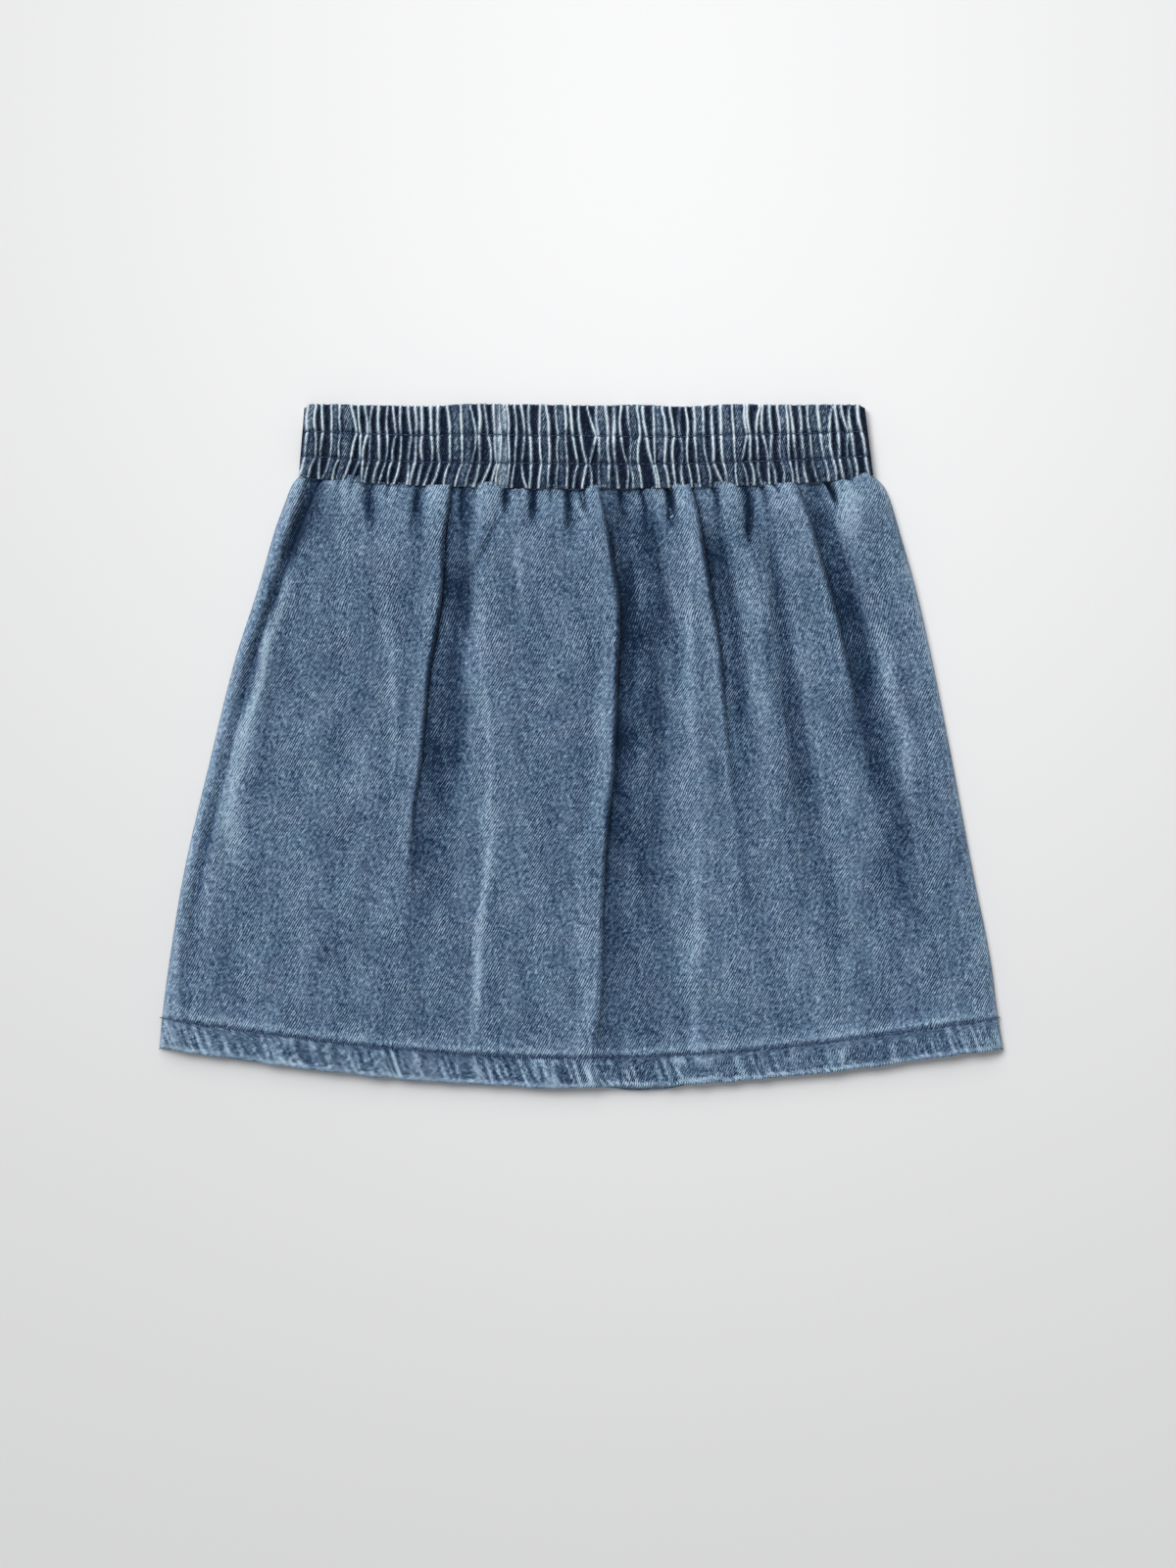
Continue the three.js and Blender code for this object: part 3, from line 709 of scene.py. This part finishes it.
def make_front_panel(material, back_panel_height):
    down = panel_rows(fine_top=22, body=138, hem=30)
    panel = Panel(FRONT_FOLDS, FRONT_GATHERS, FRONT_CREASES, columns=404, down=down, seed=100)
    height, pucker, in_hem = front_heights(panel, back_panel_height(panel.x, panel.y))
    worn = panel_wear_and_shade(panel, height, 21) + hem_wear(panel, pucker, 41) * in_hem
    lean = panel.lean * smoothstep(panel.inside, 2, 8)
    points = np.stack([panel.x + lean, panel.y + seam_puffs(panel), height], axis=-1)
    points[:, :, 1] += HEM_UNEVEN * panel.noise_across(6, 51) * fading(panel.above_hem, 0, 6)
    points[:, :, 1] += HEM_ROLL * fading(panel.above_hem, 0, 4)
    turn_z = np.minimum(points[-1, :, 2] - TURNS_AT["least"], TURNS_AT["front"])
    points = rolled_hem(points, turn_z)
    worn = lengthened(worn, len(points))
    inner = points - CLOTH * normals(points)
    data = cloth_data(points, worn, panel.below_seam)
    under = {"uv": thinned(data["uv"], INNER_STEP), "worn": 0 * thinned(worn, INNER_STEP)}
    piece = wall("front_panel_cloth", points, thinned(inner, INNER_STEP), data, under, material)
    return piece, panel, points


def make_back_panel(material):
    down = panel_rows(fine_top=12, body=90, hem=16)
    panel = Panel(BACK_FOLDS, BACK_GATHERS, BACK_CREASES, columns=240, down=down, seed=200)
    rise = back_relief(panel)
    rise = rise + 0.15 * (1 + panel.noise(15, 50, 8)) * smoothstep(rise, 0.0, 0.3)
    pucker, in_hem = hem_puckers(panel, 13)
    rise = rise + 0.36 * (1 - pucker) * in_hem
    rise = rise + 1.0 * (1 - rounded(panel.inside / 2.4))
    worn = panel_wear_and_shade(panel, -rise, 23) + 0.6 * hem_wear(panel, pucker, 43) * in_hem
    points = np.stack([panel.x, panel.y, rise], axis=-1)
    points[:, :, 1] += HEM_ROLL * fading(panel.above_hem, 0, 4)
    peeking = bell(panel.x - BACK_PEEKS["x"], BACK_PEEKS["half"], 4)
    points[:, :, 1] -= BACK_PEEKS["drop"] * peeking * fading(panel.above_hem, 0, 14)
    points = rolled_hem(points, np.full(points.shape[1], TURNS_AT["back"]))
    worn = lengthened(worn, len(points))
    inner = points + CLOTH * normals(points)
    data = cloth_data(points, worn, panel.below_seam)
    over = {"uv": data["uv"], "worn": worn * 0 + 0.5}
    piece = wall("back_panel_cloth", inner, points, over, data, material)
    return piece, panel, points


def make_hem_turn(name, panel, points, inward, material):
    """The allowance turned up inside a panel, from its points moved in."""
    rows = np.nonzero(panel.down[:, 0] >= HEM_START)[0]
    inner = points + inward * (CLOTH + 0.12) * normals(points)
    keep = slice(int(0.03 * points.shape[1]), int(0.97 * points.shape[1]))
    near = inner[rows[0]:rows[-1] + 1, keep]
    far = near + inward * CLOTH * normals(near)
    data = {"uv": near[:, :, :2], "worn": np.full(near.shape[:2], 0.3)}
    upper, lower = (near, far) if inward < 0 else (far, near)
    return wall(name, upper, lower, data, data, material)


# ---------------------------------------------------------------- the waistband

def gather_lines(band):
    """Each gather's places across at the casing's edges and rows, its bow between them, and its size."""
    rng = np.random.default_rng(band["seed"])
    count = band["gathers"]
    spacing = rng.uniform(0.74, 1.10, count)
    puffed = rng.random(count) < 0.15
    spacing[puffed] *= 1.6
    base = (np.cumsum(spacing) - 0.5 * spacing) / spacing.sum()
    drift = mix(LOWER_LEAN["left"], LOWER_LEAN["right"], smoothstep(base, 0.25, 0.6)) / BAND_TOP["right"] / 2
    places = base + rng.uniform(-0.19, 0.19, (len(CHANNELS), count)) / count
    places[0] -= 0.22 / count * smoothstep(0.8 - base, 0, 0.3)
    places[-1] += drift
    for row in range(len(CHANNELS)):
        joined = np.nonzero((rng.random(count - 1) < 0.13) & ~puffed[:-1])[0]
        places[row, joined] = places[row, joined + 1] - 0.34 / count
    bows = rng.uniform(-0.17, 0.17, (len(CHANNELS) - 1, count)) / count
    half = rng.uniform(0.70, 1.02, count)
    high = 1 - 0.42 * rng.random((len(CHANNELS), count)) ** 2
    return places, bows, half, high, puffed


def gather_place(places, bows, down, index):
    """Where a gather lies across at places down the casing, bowed between its stitched rows."""
    place = np.interp(down, CHANNELS, places[:, index])
    channel = np.clip(np.searchsorted(CHANNELS, down, side="right") - 1, 0, len(CHANNELS) - 2)
    top, bottom = np.array(CHANNELS)[channel], np.array(CHANNELS)[channel + 1]
    return place + bows[channel, index] * np.sin(math.pi * (down - top) / (bottom - top))


def gather_profile(band, across, down, width):
    """How high and how pale the casing stands at each point: 0 in a valley, 1 on a gather's crest."""
    places, bows, half, high, puffed = gather_lines(band)
    raised, pale = np.zeros_like(across), np.zeros_like(across)
    lines = [gather_place(places, bows, down, index) for index in range(band["gathers"])]
    for index, place in enumerate(lines):
        top = np.interp(down, CHANNELS, high[:, index])
        narrowed = half[index] * mix(1.0, CREST_NARROWS, smoothstep(down, 0.3, 0.6))
        beside = (across - place) * width
        raised = np.maximum(raised, top * bell(beside, narrowed, 2.3))
        pale = np.maximum(pale, top * bell(beside, narrowed, 1.8))
        if puffed[index] and index + 1 < len(lines):
            gap = lines[index + 1] - place
            puff = bell(across - place - 0.5 * gap, 0.34 * gap, 4)
            raised, pale = np.maximum(raised, 0.62 * puff), np.maximum(pale, PUFF_PALE * puff)
    return raised, pale


def band_points(band):
    """The casing's outer face, rolled over its top edge, with how pale and how far down each point is."""
    columns = 13 * band["gathers"] + 1
    roll_rows, face_rows = 5, 52
    down = np.linspace(0.0, 1.0, face_rows)[:, None]
    left = mix(BAND_TOP["left"], OUTLINE["left"][0], down)
    right = mix(BAND_TOP["right"], OUTLINE["right"][0], down)
    across = np.linspace(0, 1, columns)[None, :] + 0 * down
    x = mix(left, right, across)
    raised, pale = gather_profile(band, across, down, right - left)
    dips = sum(bell((down - row) * BAND_HEIGHT, 0.9) for row in CHANNELS[1:-1])
    at_seam = bell((down - 1) * BAND_HEIGHT, 2.0)
    pinch = (1 - BAND_PINCH["row"] * dips) * (1 - BAND_PINCH["seam"] * at_seam)
    swell = 0.06 + 0.08 * np.sin(math.pi * ((down * 3) % 1.0))
    sway = cloth_noise(x, 0 * x, 21, 1, band["seed"] + 3)
    share = pinch * (swell + (0.86 + 0.06 * sway) * raised)
    z = mix(band["valley"], band["crest"], np.minimum(share, 1))
    inside = np.minimum(across[:1], 1 - across[:1]) * (right - left)[:1]
    top = WAIST_TOP_Y - 1.2 + BAND_EDGE["sway"] * sway[:1] + BAND_EDGE["crest"] * raised[:1]
    top = top - BAND_EDGE["corner"] * bell(inside, 1.6)
    y = mix(top, seam_y(across) + SEAM_GAP / 2, down)
    middle = mix(band["inside"], z[:1], 0.45)
    rolled = []
    for angle in np.linspace(0, math.pi / 2, roll_rows, endpoint=False):
        roll_y = y[0] - BAND_TOP_ROLL * (1 - math.cos(angle))
        roll_z = middle[0] + (z[0] - middle[0]) * math.sin(angle)
        rolled.append(np.stack([x[0], roll_y, roll_z], axis=-1))
    y = y - BAND_TOP_ROLL * (1 - down)
    points = np.concatenate([rolled, np.stack([x, y, z], axis=-1)])
    edge_z = mix(band["inside"], band["valley"], 0.4)
    points[:, :, 2] = mix(edge_z, points[:, :, 2], rounded(inside / BAND_END_ROLL))
    pale = np.concatenate([np.repeat(pale[:1], roll_rows, axis=0), pale])
    rows = np.concatenate([np.zeros((roll_rows, 1)), down])
    return points, pale, rows


def make_band(name, band, material):
    points, pale, rows = band_points(band)
    on_top = band["crest"] > band["inside"]
    patch = cloth_noise(points[:, :, 0], points[:, :, 1], 2.4, 6.0, band["seed"] + 5)
    # Pale on the rubbed crests; the valleys stay at the near-black stops, which is partly unwashed indigo
    # and partly painted shade.
    worn = pale ** 1.12 * (1 + 0.14 * patch) * mix(1.04, 0.86, smoothstep(rows, 0.25, 0.6)) + 0.04 * patch
    if on_top:
        stripe = bell(points[:, :, 0] - PALE_STRIPE["x"], PALE_STRIPE["half"], 4)
        worn = np.maximum(worn, 0.62 * stripe * (1 + 0.35 * patch))
    worn -= 0.22 * sum(bell((rows - row) * BAND_HEIGHT, 0.6) for row in CHANNELS[1:-1])
    uv = np.stack([along_row(points).mean(axis=0) + 0 * rows, points[:, :, 1]], axis=-1)
    plain = thinned(points[[4, -1]], 8)[[0, -1]].copy()
    plain[:, :, 2] = band["inside"]
    plain[0, :, 1] = WAIST_TOP_Y - 2.2
    data = {"uv": uv, "worn": worn}
    plain_data = {"uv": plain[:, :, :2], "worn": np.zeros(plain.shape[:2])}
    upper, lower = (points, plain) if on_top else (plain, points)
    upper_data, lower_data = (data, plain_data) if on_top else (plain_data, data)
    piece = wall(name, upper, lower, upper_data, lower_data, material)
    return piece, points, rows


# ---------------------------------------------------------------- materials

class Finish:
    """A material and short names for adding and joining its nodes."""

    def __init__(self, name):
        self.material = bpy.data.materials.new(name)
        self.material.use_nodes = True
        self.tree = self.material.node_tree
        self.shader = self.tree.nodes["Principled BSDF"]

    def add(self, kind, inputs=None, **settings):
        made = self.tree.nodes.new(kind)
        for key, value in settings.items():
            setattr(made, key, value)
        for key, value in (inputs or {}).items():
            self.put(made.inputs[key], value)
        return made

    def put(self, socket, value):
        if isinstance(value, bpy.types.NodeSocket):
            self.tree.links.new(value, socket)
        else:
            socket.default_value = value

    def sum(self, operation, a, b=0.0, c=0.0):
        made = self.add("ShaderNodeMath", {0: a, 1: b, 2: c}, operation=operation)
        return made.outputs[0]

    def vector(self, operation, inputs):
        return self.add("ShaderNodeVectorMath", inputs, operation=operation).outputs[0]

    def dot(self, vector, direction):
        made = self.add("ShaderNodeVectorMath", {0: vector, 1: direction}, operation="DOT_PRODUCT")
        return made.outputs["Value"]

    def noise(self, vector, scale, detail=2.0, roughness=0.5):
        inputs = {"Vector": vector, "Scale": scale, "Detail": detail, "Roughness": roughness}
        return self.add("ShaderNodeTexNoise", inputs).outputs["Fac"]

    def spread(self, value, *limits, kind="LINEAR"):
        """A value carried from the range of the first two limits to that of the last two."""
        inputs = {"Value": value, **dict(zip(("From Min", "From Max", "To Min", "To Max"), limits))}
        return self.add("ShaderNodeMapRange", inputs, interpolation_type=kind).outputs[0]

    def stretched(self, x, y, by_x, by_y):
        """A place to read a noise at, with a scale of its own in each direction."""
        parts = {"X": self.sum("MULTIPLY", x, by_x), "Y": self.sum("MULTIPLY", y, by_y)}
        return self.add("ShaderNodeCombineXYZ", parts).outputs[0]

    def ramp(self, share, stops):
        made = self.add("ShaderNodeValToRGB", {"Fac": share})
        band = made.color_ramp
        while len(band.elements) < len(stops):
            band.elements.new(0.5)
        for element, (place, colour) in zip(band.elements, stops):
            element.position = place
            element.color = (*colour, 1)
        return made.outputs["Color"]

    def surface(self, inputs):
        """Set or join the shader's sockets, and return the finished material."""
        for name, value in inputs.items():
            self.put(self.shader.inputs[name], value)
        return self.material


def linear(red, green, blue):
    """A colour given in the 0 to 255 of a screen, as the linear values that a shader takes."""
    def one(value):
        value /= 255
        return value / 12.92 if value <= 0.04045 else ((value + 0.055) / 1.055) ** 2.4
    return tuple(one(value) for value in (red, green, blue))


def denim_finish(name, shades, middle, wear_and_shade_gain, contrast):
    """Washed indigo twill: slanting broken ribs, grain, slubby streaks, clouds, rubbed ridges and painted
    shade in the folds.
    """
    finish = Finish(name)
    uv = finish.add("ShaderNodeTexCoord").outputs["UV"]
    place = finish.vector("SCALE", {0: uv, "Scale": 1 / MM})
    wobble = finish.add("ShaderNodeTexNoise", {"Vector": place, "Scale": 0.16, "Detail": 2.0})
    wobble = finish.vector("SUBTRACT", {0: wobble.outputs["Color"], 1: (0.5, 0.5, 0.5)})
    wobble = finish.vector("SCALE", {0: wobble, "Scale": 1.3})
    woven = finish.vector("ADD", {0: place, 1: wobble})
    over_rib = finish.dot(woven, (math.sin(TWILL_ANGLE), -math.cos(TWILL_ANGLE), 0))
    along_rib = finish.dot(woven, (math.cos(TWILL_ANGLE), math.sin(TWILL_ANGLE), 0))
    turns = finish.sum("MULTIPLY", over_rib, 2 * math.pi / TWILL_PITCH)
    rib = finish.sum("SINE", turns)
    clearness = finish.spread(finish.noise(place, 0.085, 2.0), 0.38, 0.60, 0.35, 1.0)
    clear_rib = finish.sum("MULTIPLY", rib, clearness)
    dash = finish.noise(finish.stretched(over_rib, along_rib, 0.9, 0.42), 1.0, 1.5, 0.6)
    grain = finish.noise(place, 1.0, 1.5, 0.6)
    cross = finish.dot(place, (1, 0, 0))
    up = finish.dot(place, (0, 1, 0))
    slub = finish.noise(finish.stretched(cross, up, 1.1, 0.06), 1.0, 2.0)
    cloud = finish.noise(finish.stretched(cross, up, 1.8, 0.7), 0.06, 4.0, 0.6)
    worn = finish.add("ShaderNodeAttribute", attribute_name="worn").outputs["Fac"]
    shade = finish.sum("MULTIPLY_ADD", clear_rib, DENIM_GAINS["rib"] * contrast, middle)
    for field, name in ((dash, "dash"), (grain, "grain"), (slub, "slub"), (cloud, "cloud")):
        gain = DENIM_GAINS[name] * contrast
        shade = finish.sum("MULTIPLY_ADD", finish.sum("SUBTRACT", field, 0.5), gain, shade)
    shade = finish.sum("MULTIPLY_ADD", worn, wear_and_shade_gain, shade)
    tint = finish.ramp(finish.noise(place, 0.045, 3.0, 0.6), TINTS)
    colour = finish.add("ShaderNodeMix", data_type="RGBA", blend_type="MULTIPLY")
    colour.inputs["Factor"].default_value = 1.0
    finish.put(colour.inputs[6], finish.ramp(shade, shades))
    finish.put(colour.inputs[7], tint)
    height = finish.sum("MULTIPLY_ADD", clear_rib, 0.35, dash)
    bump = finish.add("ShaderNodeBump", {"Height": height, "Distance": 0.14 * MM, "Strength": 0.6})
    return finish.surface({
        "Base Color": colour.outputs[2], "Normal": bump.outputs["Normal"], "Roughness": 0.92,
        "Specular IOR Level": 0.15, "Sheen Weight": 0.08, "Sheen Roughness": 0.5,
        "Sheen Tint": (0.80, 0.88, 1.0, 1),
    })


def thread_finish():
    finish = Finish("navy_thread")
    place = finish.add("ShaderNodeTexCoord").outputs["Object"]
    # Pale specks painted on the navy thread as glints.
    specks_as_glints = finish.noise(place, 1400.0, 2.0)
    colour = finish.ramp(specks_as_glints, [(0.36, linear(16, 30, 58)), (0.66, linear(66, 94, 140))])
    return finish.surface({"Base Color": colour, "Roughness": 0.6, "Sheen Weight": 0.2})


def floor_finish():
    """Pale paper with painted light falloff: lightest behind the waist and greyer towards its sides and its
    foot.
    """
    finish = Finish("paper_with_painted_falloff")
    place = finish.add("ShaderNodeTexCoord").outputs["Object"]
    across, up = finish.dot(place, (1, 0, 0)), finish.dot(place, (0, 1, 0))
    side, most, top, foot = (FLOOR_PAINTED_FALLOFF[name] for name in ("side", "side_share", "top", "foot"))
    beside = finish.sum("ABSOLUTE", finish.sum("SUBTRACT", across, FLOOR_PAINTED_FALLOFF["middle"]))
    beside = finish.spread(beside, 0.0, side, 0.0, most, kind="SMOOTHSTEP")
    below = finish.spread(up, top, foot, 0.0, 1.0, kind="SMOOTHSTEP")
    share = finish.sum("MULTIPLY_ADD", finish.sum("SUBTRACT", 1.0, below), beside, below)
    colour = finish.ramp(share, [(0.0, FLOOR_LIT_PALE), (1.0, FLOOR_FALLOFF_GREY)])
    return finish.surface({"Base Color": colour, "Roughness": 0.9, "Specular IOR Level": 0.1})


# ---------------------------------------------------------------- stitching

def stitch_tree():
    """Geometry nodes that lay one thread loop after another along a path."""
    tree = bpy.data.node_groups.new("row_of_stitches", "GeometryNodeTree")
    ports = tree.interface
    ports.new_socket("Path", in_out="INPUT", socket_type="NodeSocketGeometry")
    sizes = {}
    for name in ("Pitch", "Length", "Radius", "Slant"):
        sizes[name] = ports.new_socket(name, in_out="INPUT", socket_type="NodeSocketFloat").identifier
    sizes["Thread"] = ports.new_socket("Thread", in_out="INPUT", socket_type="NodeSocketMaterial").identifier
    ports.new_socket("Stitches", in_out="OUTPUT", socket_type="NodeSocketGeometry")

    def add(kind, **settings):
        made = tree.nodes.new(kind)
        for key, value in settings.items():
            setattr(made, key, value)
        return made

    start, end = add("NodeGroupInput"), add("NodeGroupOutput")
    curve = add("GeometryNodeMeshToCurve")
    spaced = add("GeometryNodeResampleCurve", mode="LENGTH")
    loop = add("GeometryNodeMeshUVSphere")
    for name, value in (("Segments", 8), ("Rings", 6), ("Radius", 1.0)):
        loop.inputs[name].default_value = value
    half = add("ShaderNodeMath", operation="MULTIPLY")
    half.inputs[1].default_value = 0.5
    size = add("ShaderNodeCombineXYZ")
    shaped = add("GeometryNodeTransform")
    tangent = add("GeometryNodeInputTangent")
    facing = add("FunctionNodeAlignRotationToVector", axis="X")
    slant = add("ShaderNodeCombineXYZ")
    turned = add("FunctionNodeRotateRotation", rotation_space="LOCAL")
    placed = add("GeometryNodeInstanceOnPoints")
    real = add("GeometryNodeRealizeInstances")
    finished = add("GeometryNodeSetMaterial")
    for source, out, target, into in (
        (start, "Path", curve, "Mesh"),
        (curve, "Curve", spaced, "Curve"),
        (start, "Pitch", spaced, "Length"),
        (start, "Length", half, 0),
        (half, 0, size, "X"),
        (start, "Radius", size, "Y"),
        (start, "Radius", size, "Z"),
        (loop, "Mesh", shaped, "Geometry"),
        (size, 0, shaped, "Scale"),
        (tangent, 0, facing, "Vector"),
        (start, "Slant", slant, "Z"),
        (facing, 0, turned, "Rotation"),
        (slant, 0, turned, "Rotate By"),
        (spaced, "Curve", placed, "Points"),
        (shaped, "Geometry", placed, "Instance"),
        (turned, 0, placed, "Rotation"),
        (placed, "Instances", real, "Geometry"),
        (real, "Geometry", finished, "Geometry"),
        (start, "Thread", finished, "Material"),
        (finished, "Geometry", end, "Stitches"),
    ):
        tree.links.new(source.outputs[out], target.inputs[into])
    return tree, sizes


def stitched_row(name, path, slant, thread, tree, sizes):
    """A row of stitches along a path of points in mm."""
    mesh = bpy.data.meshes.new(name)
    mesh.from_pydata((path * MM).tolist(), [(i, i + 1) for i in range(len(path) - 1)], [])
    guide = into_scene(name + "_path", mesh)
    modifier = guide.modifiers.new("stitches", "NODES")
    modifier.node_group = tree
    for size in ("Pitch", "Length", "Radius"):
        modifier[sizes[size]] = STITCH[size.lower()] * MM
    modifier[sizes["Slant"]] = slant
    modifier[sizes["Thread"]] = thread
    bpy.context.view_layer.update()
    evaluated = guide.evaluated_get(bpy.context.evaluated_depsgraph_get())
    plain = bpy.data.meshes.new_from_object(evaluated)
    plain.name = name
    row = into_scene(name, plain)
    bpy.data.objects.remove(guide)
    plain.polygons.foreach_set("use_smooth", [True] * len(plain.polygons))
    if not plain.materials:
        plain.materials.append(thread)
    return row


def path_at(points, field, value, lift):
    """The line on a grid where a field that grows down its rows has a value, lifted off the cloth."""
    line = []
    for column in range(points.shape[1]):
        values = field[:, column] if field.shape[1] > 1 else field[:, 0]
        row = np.interp(value, values, np.arange(len(values)))
        low = min(int(row), len(values) - 2)
        line.append(mix(points[low, column], points[low + 1, column], row - low))
    line = np.array(line)
    line[:, 2] += lift
    return line


# ---------------------------------------------------------------- making the skirt

SHADES = [
    (0.00, linear(10, 30, 54)),
    (0.20, linear(40, 62, 89)),
    (0.50, linear(88, 111, 137)),
    (0.80, linear(136, 159, 184)),
    (1.00, linear(178, 199, 216)),
]
# The casing's darkest stops colour the valleys between its gathers: partly unwashed indigo, partly painted
# shade.
BAND_SHADES = [
    (0.00, linear(8, 18, 38)),
    (0.25, linear(32, 48, 72)),
    (0.50, linear(84, 103, 126)),
    (0.75, linear(160, 177, 192)),
    (1.00, linear(226, 236, 243)),
]
INSIDE_SHADES = [
    (0.10, linear(84, 98, 118)),
    (0.50, linear(136, 150, 166)),
    (0.90, linear(188, 198, 206)),
]
TINTS = [(0.36, (0.94, 1.0, 0.98)), (0.64, (1.0, 0.99, 1.0))]
# The floor's painted falloff runs from this lit pale to this grey.
FLOOR_LIT_PALE = linear(251, 251, 251)
FLOOR_FALLOFF_GREY = linear(213, 213, 213)

denim = denim_finish("washed_denim", SHADES, middle=0.45, wear_and_shade_gain=0.16, contrast=1.0)
band_denim = denim_finish("gathered_denim", BAND_SHADES, middle=0.01, wear_and_shade_gain=1.12, contrast=0.8)
inside_denim = denim_finish("denim_wrong_side", INSIDE_SHADES, middle=0.50, wear_and_shade_gain=0.10, contrast=0.7)
thread = thread_finish()

back, back_grid, back_points = make_back_panel(denim)


def back_panel_height(x, y):
    """Height of the back's outer face under points of the front, to the nearest cell of its grid."""
    rise = back_relief(back_grid)
    share_y = np.clip((SEAM_Y["side"] - y) / (SEAM_Y["side"] - HEM_Y["side"]), 0, 1)
    left, right, width = edges(share_y)
    across = np.clip((x - left) / width, 0, 1)
    row = np.clip(np.searchsorted(back_grid.down[:, 0], share_y.ravel()).reshape(x.shape), 0, len(rise) - 1)
    column = np.clip((across * (rise.shape[1] - 1)).astype(int), 0, rise.shape[1] - 1)
    return soften(rise, 2, 2)[row, column]


front, front_grid, front_points = make_front_panel(denim, back_panel_height)
front_turn = make_hem_turn("front_hem_turned_up", front_grid, front_points, -1, inside_denim)
back_turn = make_hem_turn("back_hem_turned_up", back_grid, back_points, 1, inside_denim)
front_band, front_band_points, front_band_rows = make_band("front_casing", FRONT_BAND, band_denim)
back_band, back_band_points, back_band_rows = make_band("back_casing", BACK_BAND, band_denim)

tree, sizes = stitch_tree()
rows_of_stitches = []
for side, points, rows, lift in (
    ("front", front_band_points, front_band_rows, 0.12),
    ("back", back_band_points, back_band_rows, 0.25),
):
    for number, down in enumerate(CHANNELS[1:-1], 1):
        path = path_at(points, rows, down, lift)[STITCH["clear_ends"]:-STITCH["clear_ends"]]
        name = f"{side}_casing_stitches_{number}"
        rows_of_stitches.append(stitched_row(name, path, 0.0, thread, tree, sizes))
for side, grid, points, lift in (
    ("front", front_grid, front_points, 0.18),
    ("back", back_grid, back_points, 0.25),
):
    below = -grid.above_hem
    path = path_at(points[:len(below)], below, -HEM_DEPTH, lift)
    name = f"{side}_hem_stitches"
    rows_of_stitches.append(stitched_row(name, path, STITCH["hem_slant"], thread, tree, sizes))

for piece, node in (
    (front, "front_panel"), (back, "back_panel"), (front_turn, "front_hem_turn"),
    (back_turn, "back_hem_turn"), (front_band, "front_waistband"), (back_band, "back_waistband"),
):
    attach(piece, "root")
    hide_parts(node)
for row in rows_of_stitches:
    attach(row, "root")


# ---------------------------------------------------------------- floor, light and camera

def make_floor():
    mesh = bpy.data.meshes.new("floor")
    corners = [(-FLOOR_HALF, -FLOOR_HALF, 0), (FLOOR_HALF, -FLOOR_HALF, 0),
               (FLOOR_HALF, FLOOR_HALF, 0), (-FLOOR_HALF, FLOOR_HALF, 0)]
    mesh.from_pydata(corners, [], [(0, 1, 2, 3)])
    floor = into_scene("floor", mesh)
    mesh.materials.append(floor_finish())


def make_light(name, source, strength, angle):
    """A broad distant light that comes from a direction."""
    light = bpy.data.lights.new(name, "SUN")
    light.energy = strength
    light.angle = math.radians(angle)
    lamp = into_scene(name, light)
    lamp.rotation_euler = Vector(source).to_track_quat("Z", "Y").to_euler()


def make_camera():
    camera = bpy.data.cameras.new("camera")
    camera.lens = CAMERA["lens"]
    camera.sensor_width = CAMERA["sensor"]
    camera.clip_start = 0.01
    camera.clip_end = 50
    holder = into_scene("camera", camera)
    holder.location = (CAMERA["x"] * MM, CAMERA["y"] * MM, CAMERA["height"] * MM)
    bpy.context.scene.camera = holder


def make_world(overhead, horizon):
    """A studio's soft fill: dim overhead and pale near the horizon."""
    world = bpy.data.worlds.new("studio")
    world.use_nodes = True
    tree = world.node_tree
    background = tree.nodes["Background"]
    direction = tree.nodes.new("ShaderNodeTexCoord")
    parts = tree.nodes.new("ShaderNodeSeparateXYZ")
    strength = tree.nodes.new("ShaderNodeMapRange")
    tree.links.new(direction.outputs["Generated"], parts.inputs[0])
    tree.links.new(parts.outputs["Z"], strength.inputs["Value"])
    for name, value in (("From Min", 0.0), ("From Max", 0.4), ("To Min", horizon), ("To Max", overhead)):
        strength.inputs[name].default_value = value
    tree.links.new(strength.outputs[0], background.inputs["Strength"])
    background.inputs["Color"].default_value = (0.97, 0.98, 1.0, 1)
    bpy.context.scene.world = world


make_floor()
make_camera()
make_world(**STUDIO)
make_light("key", **KEY_LIGHT)
make_light("top", **TOP_LIGHT)
bpy.context.scene.view_settings.view_transform = "Standard"
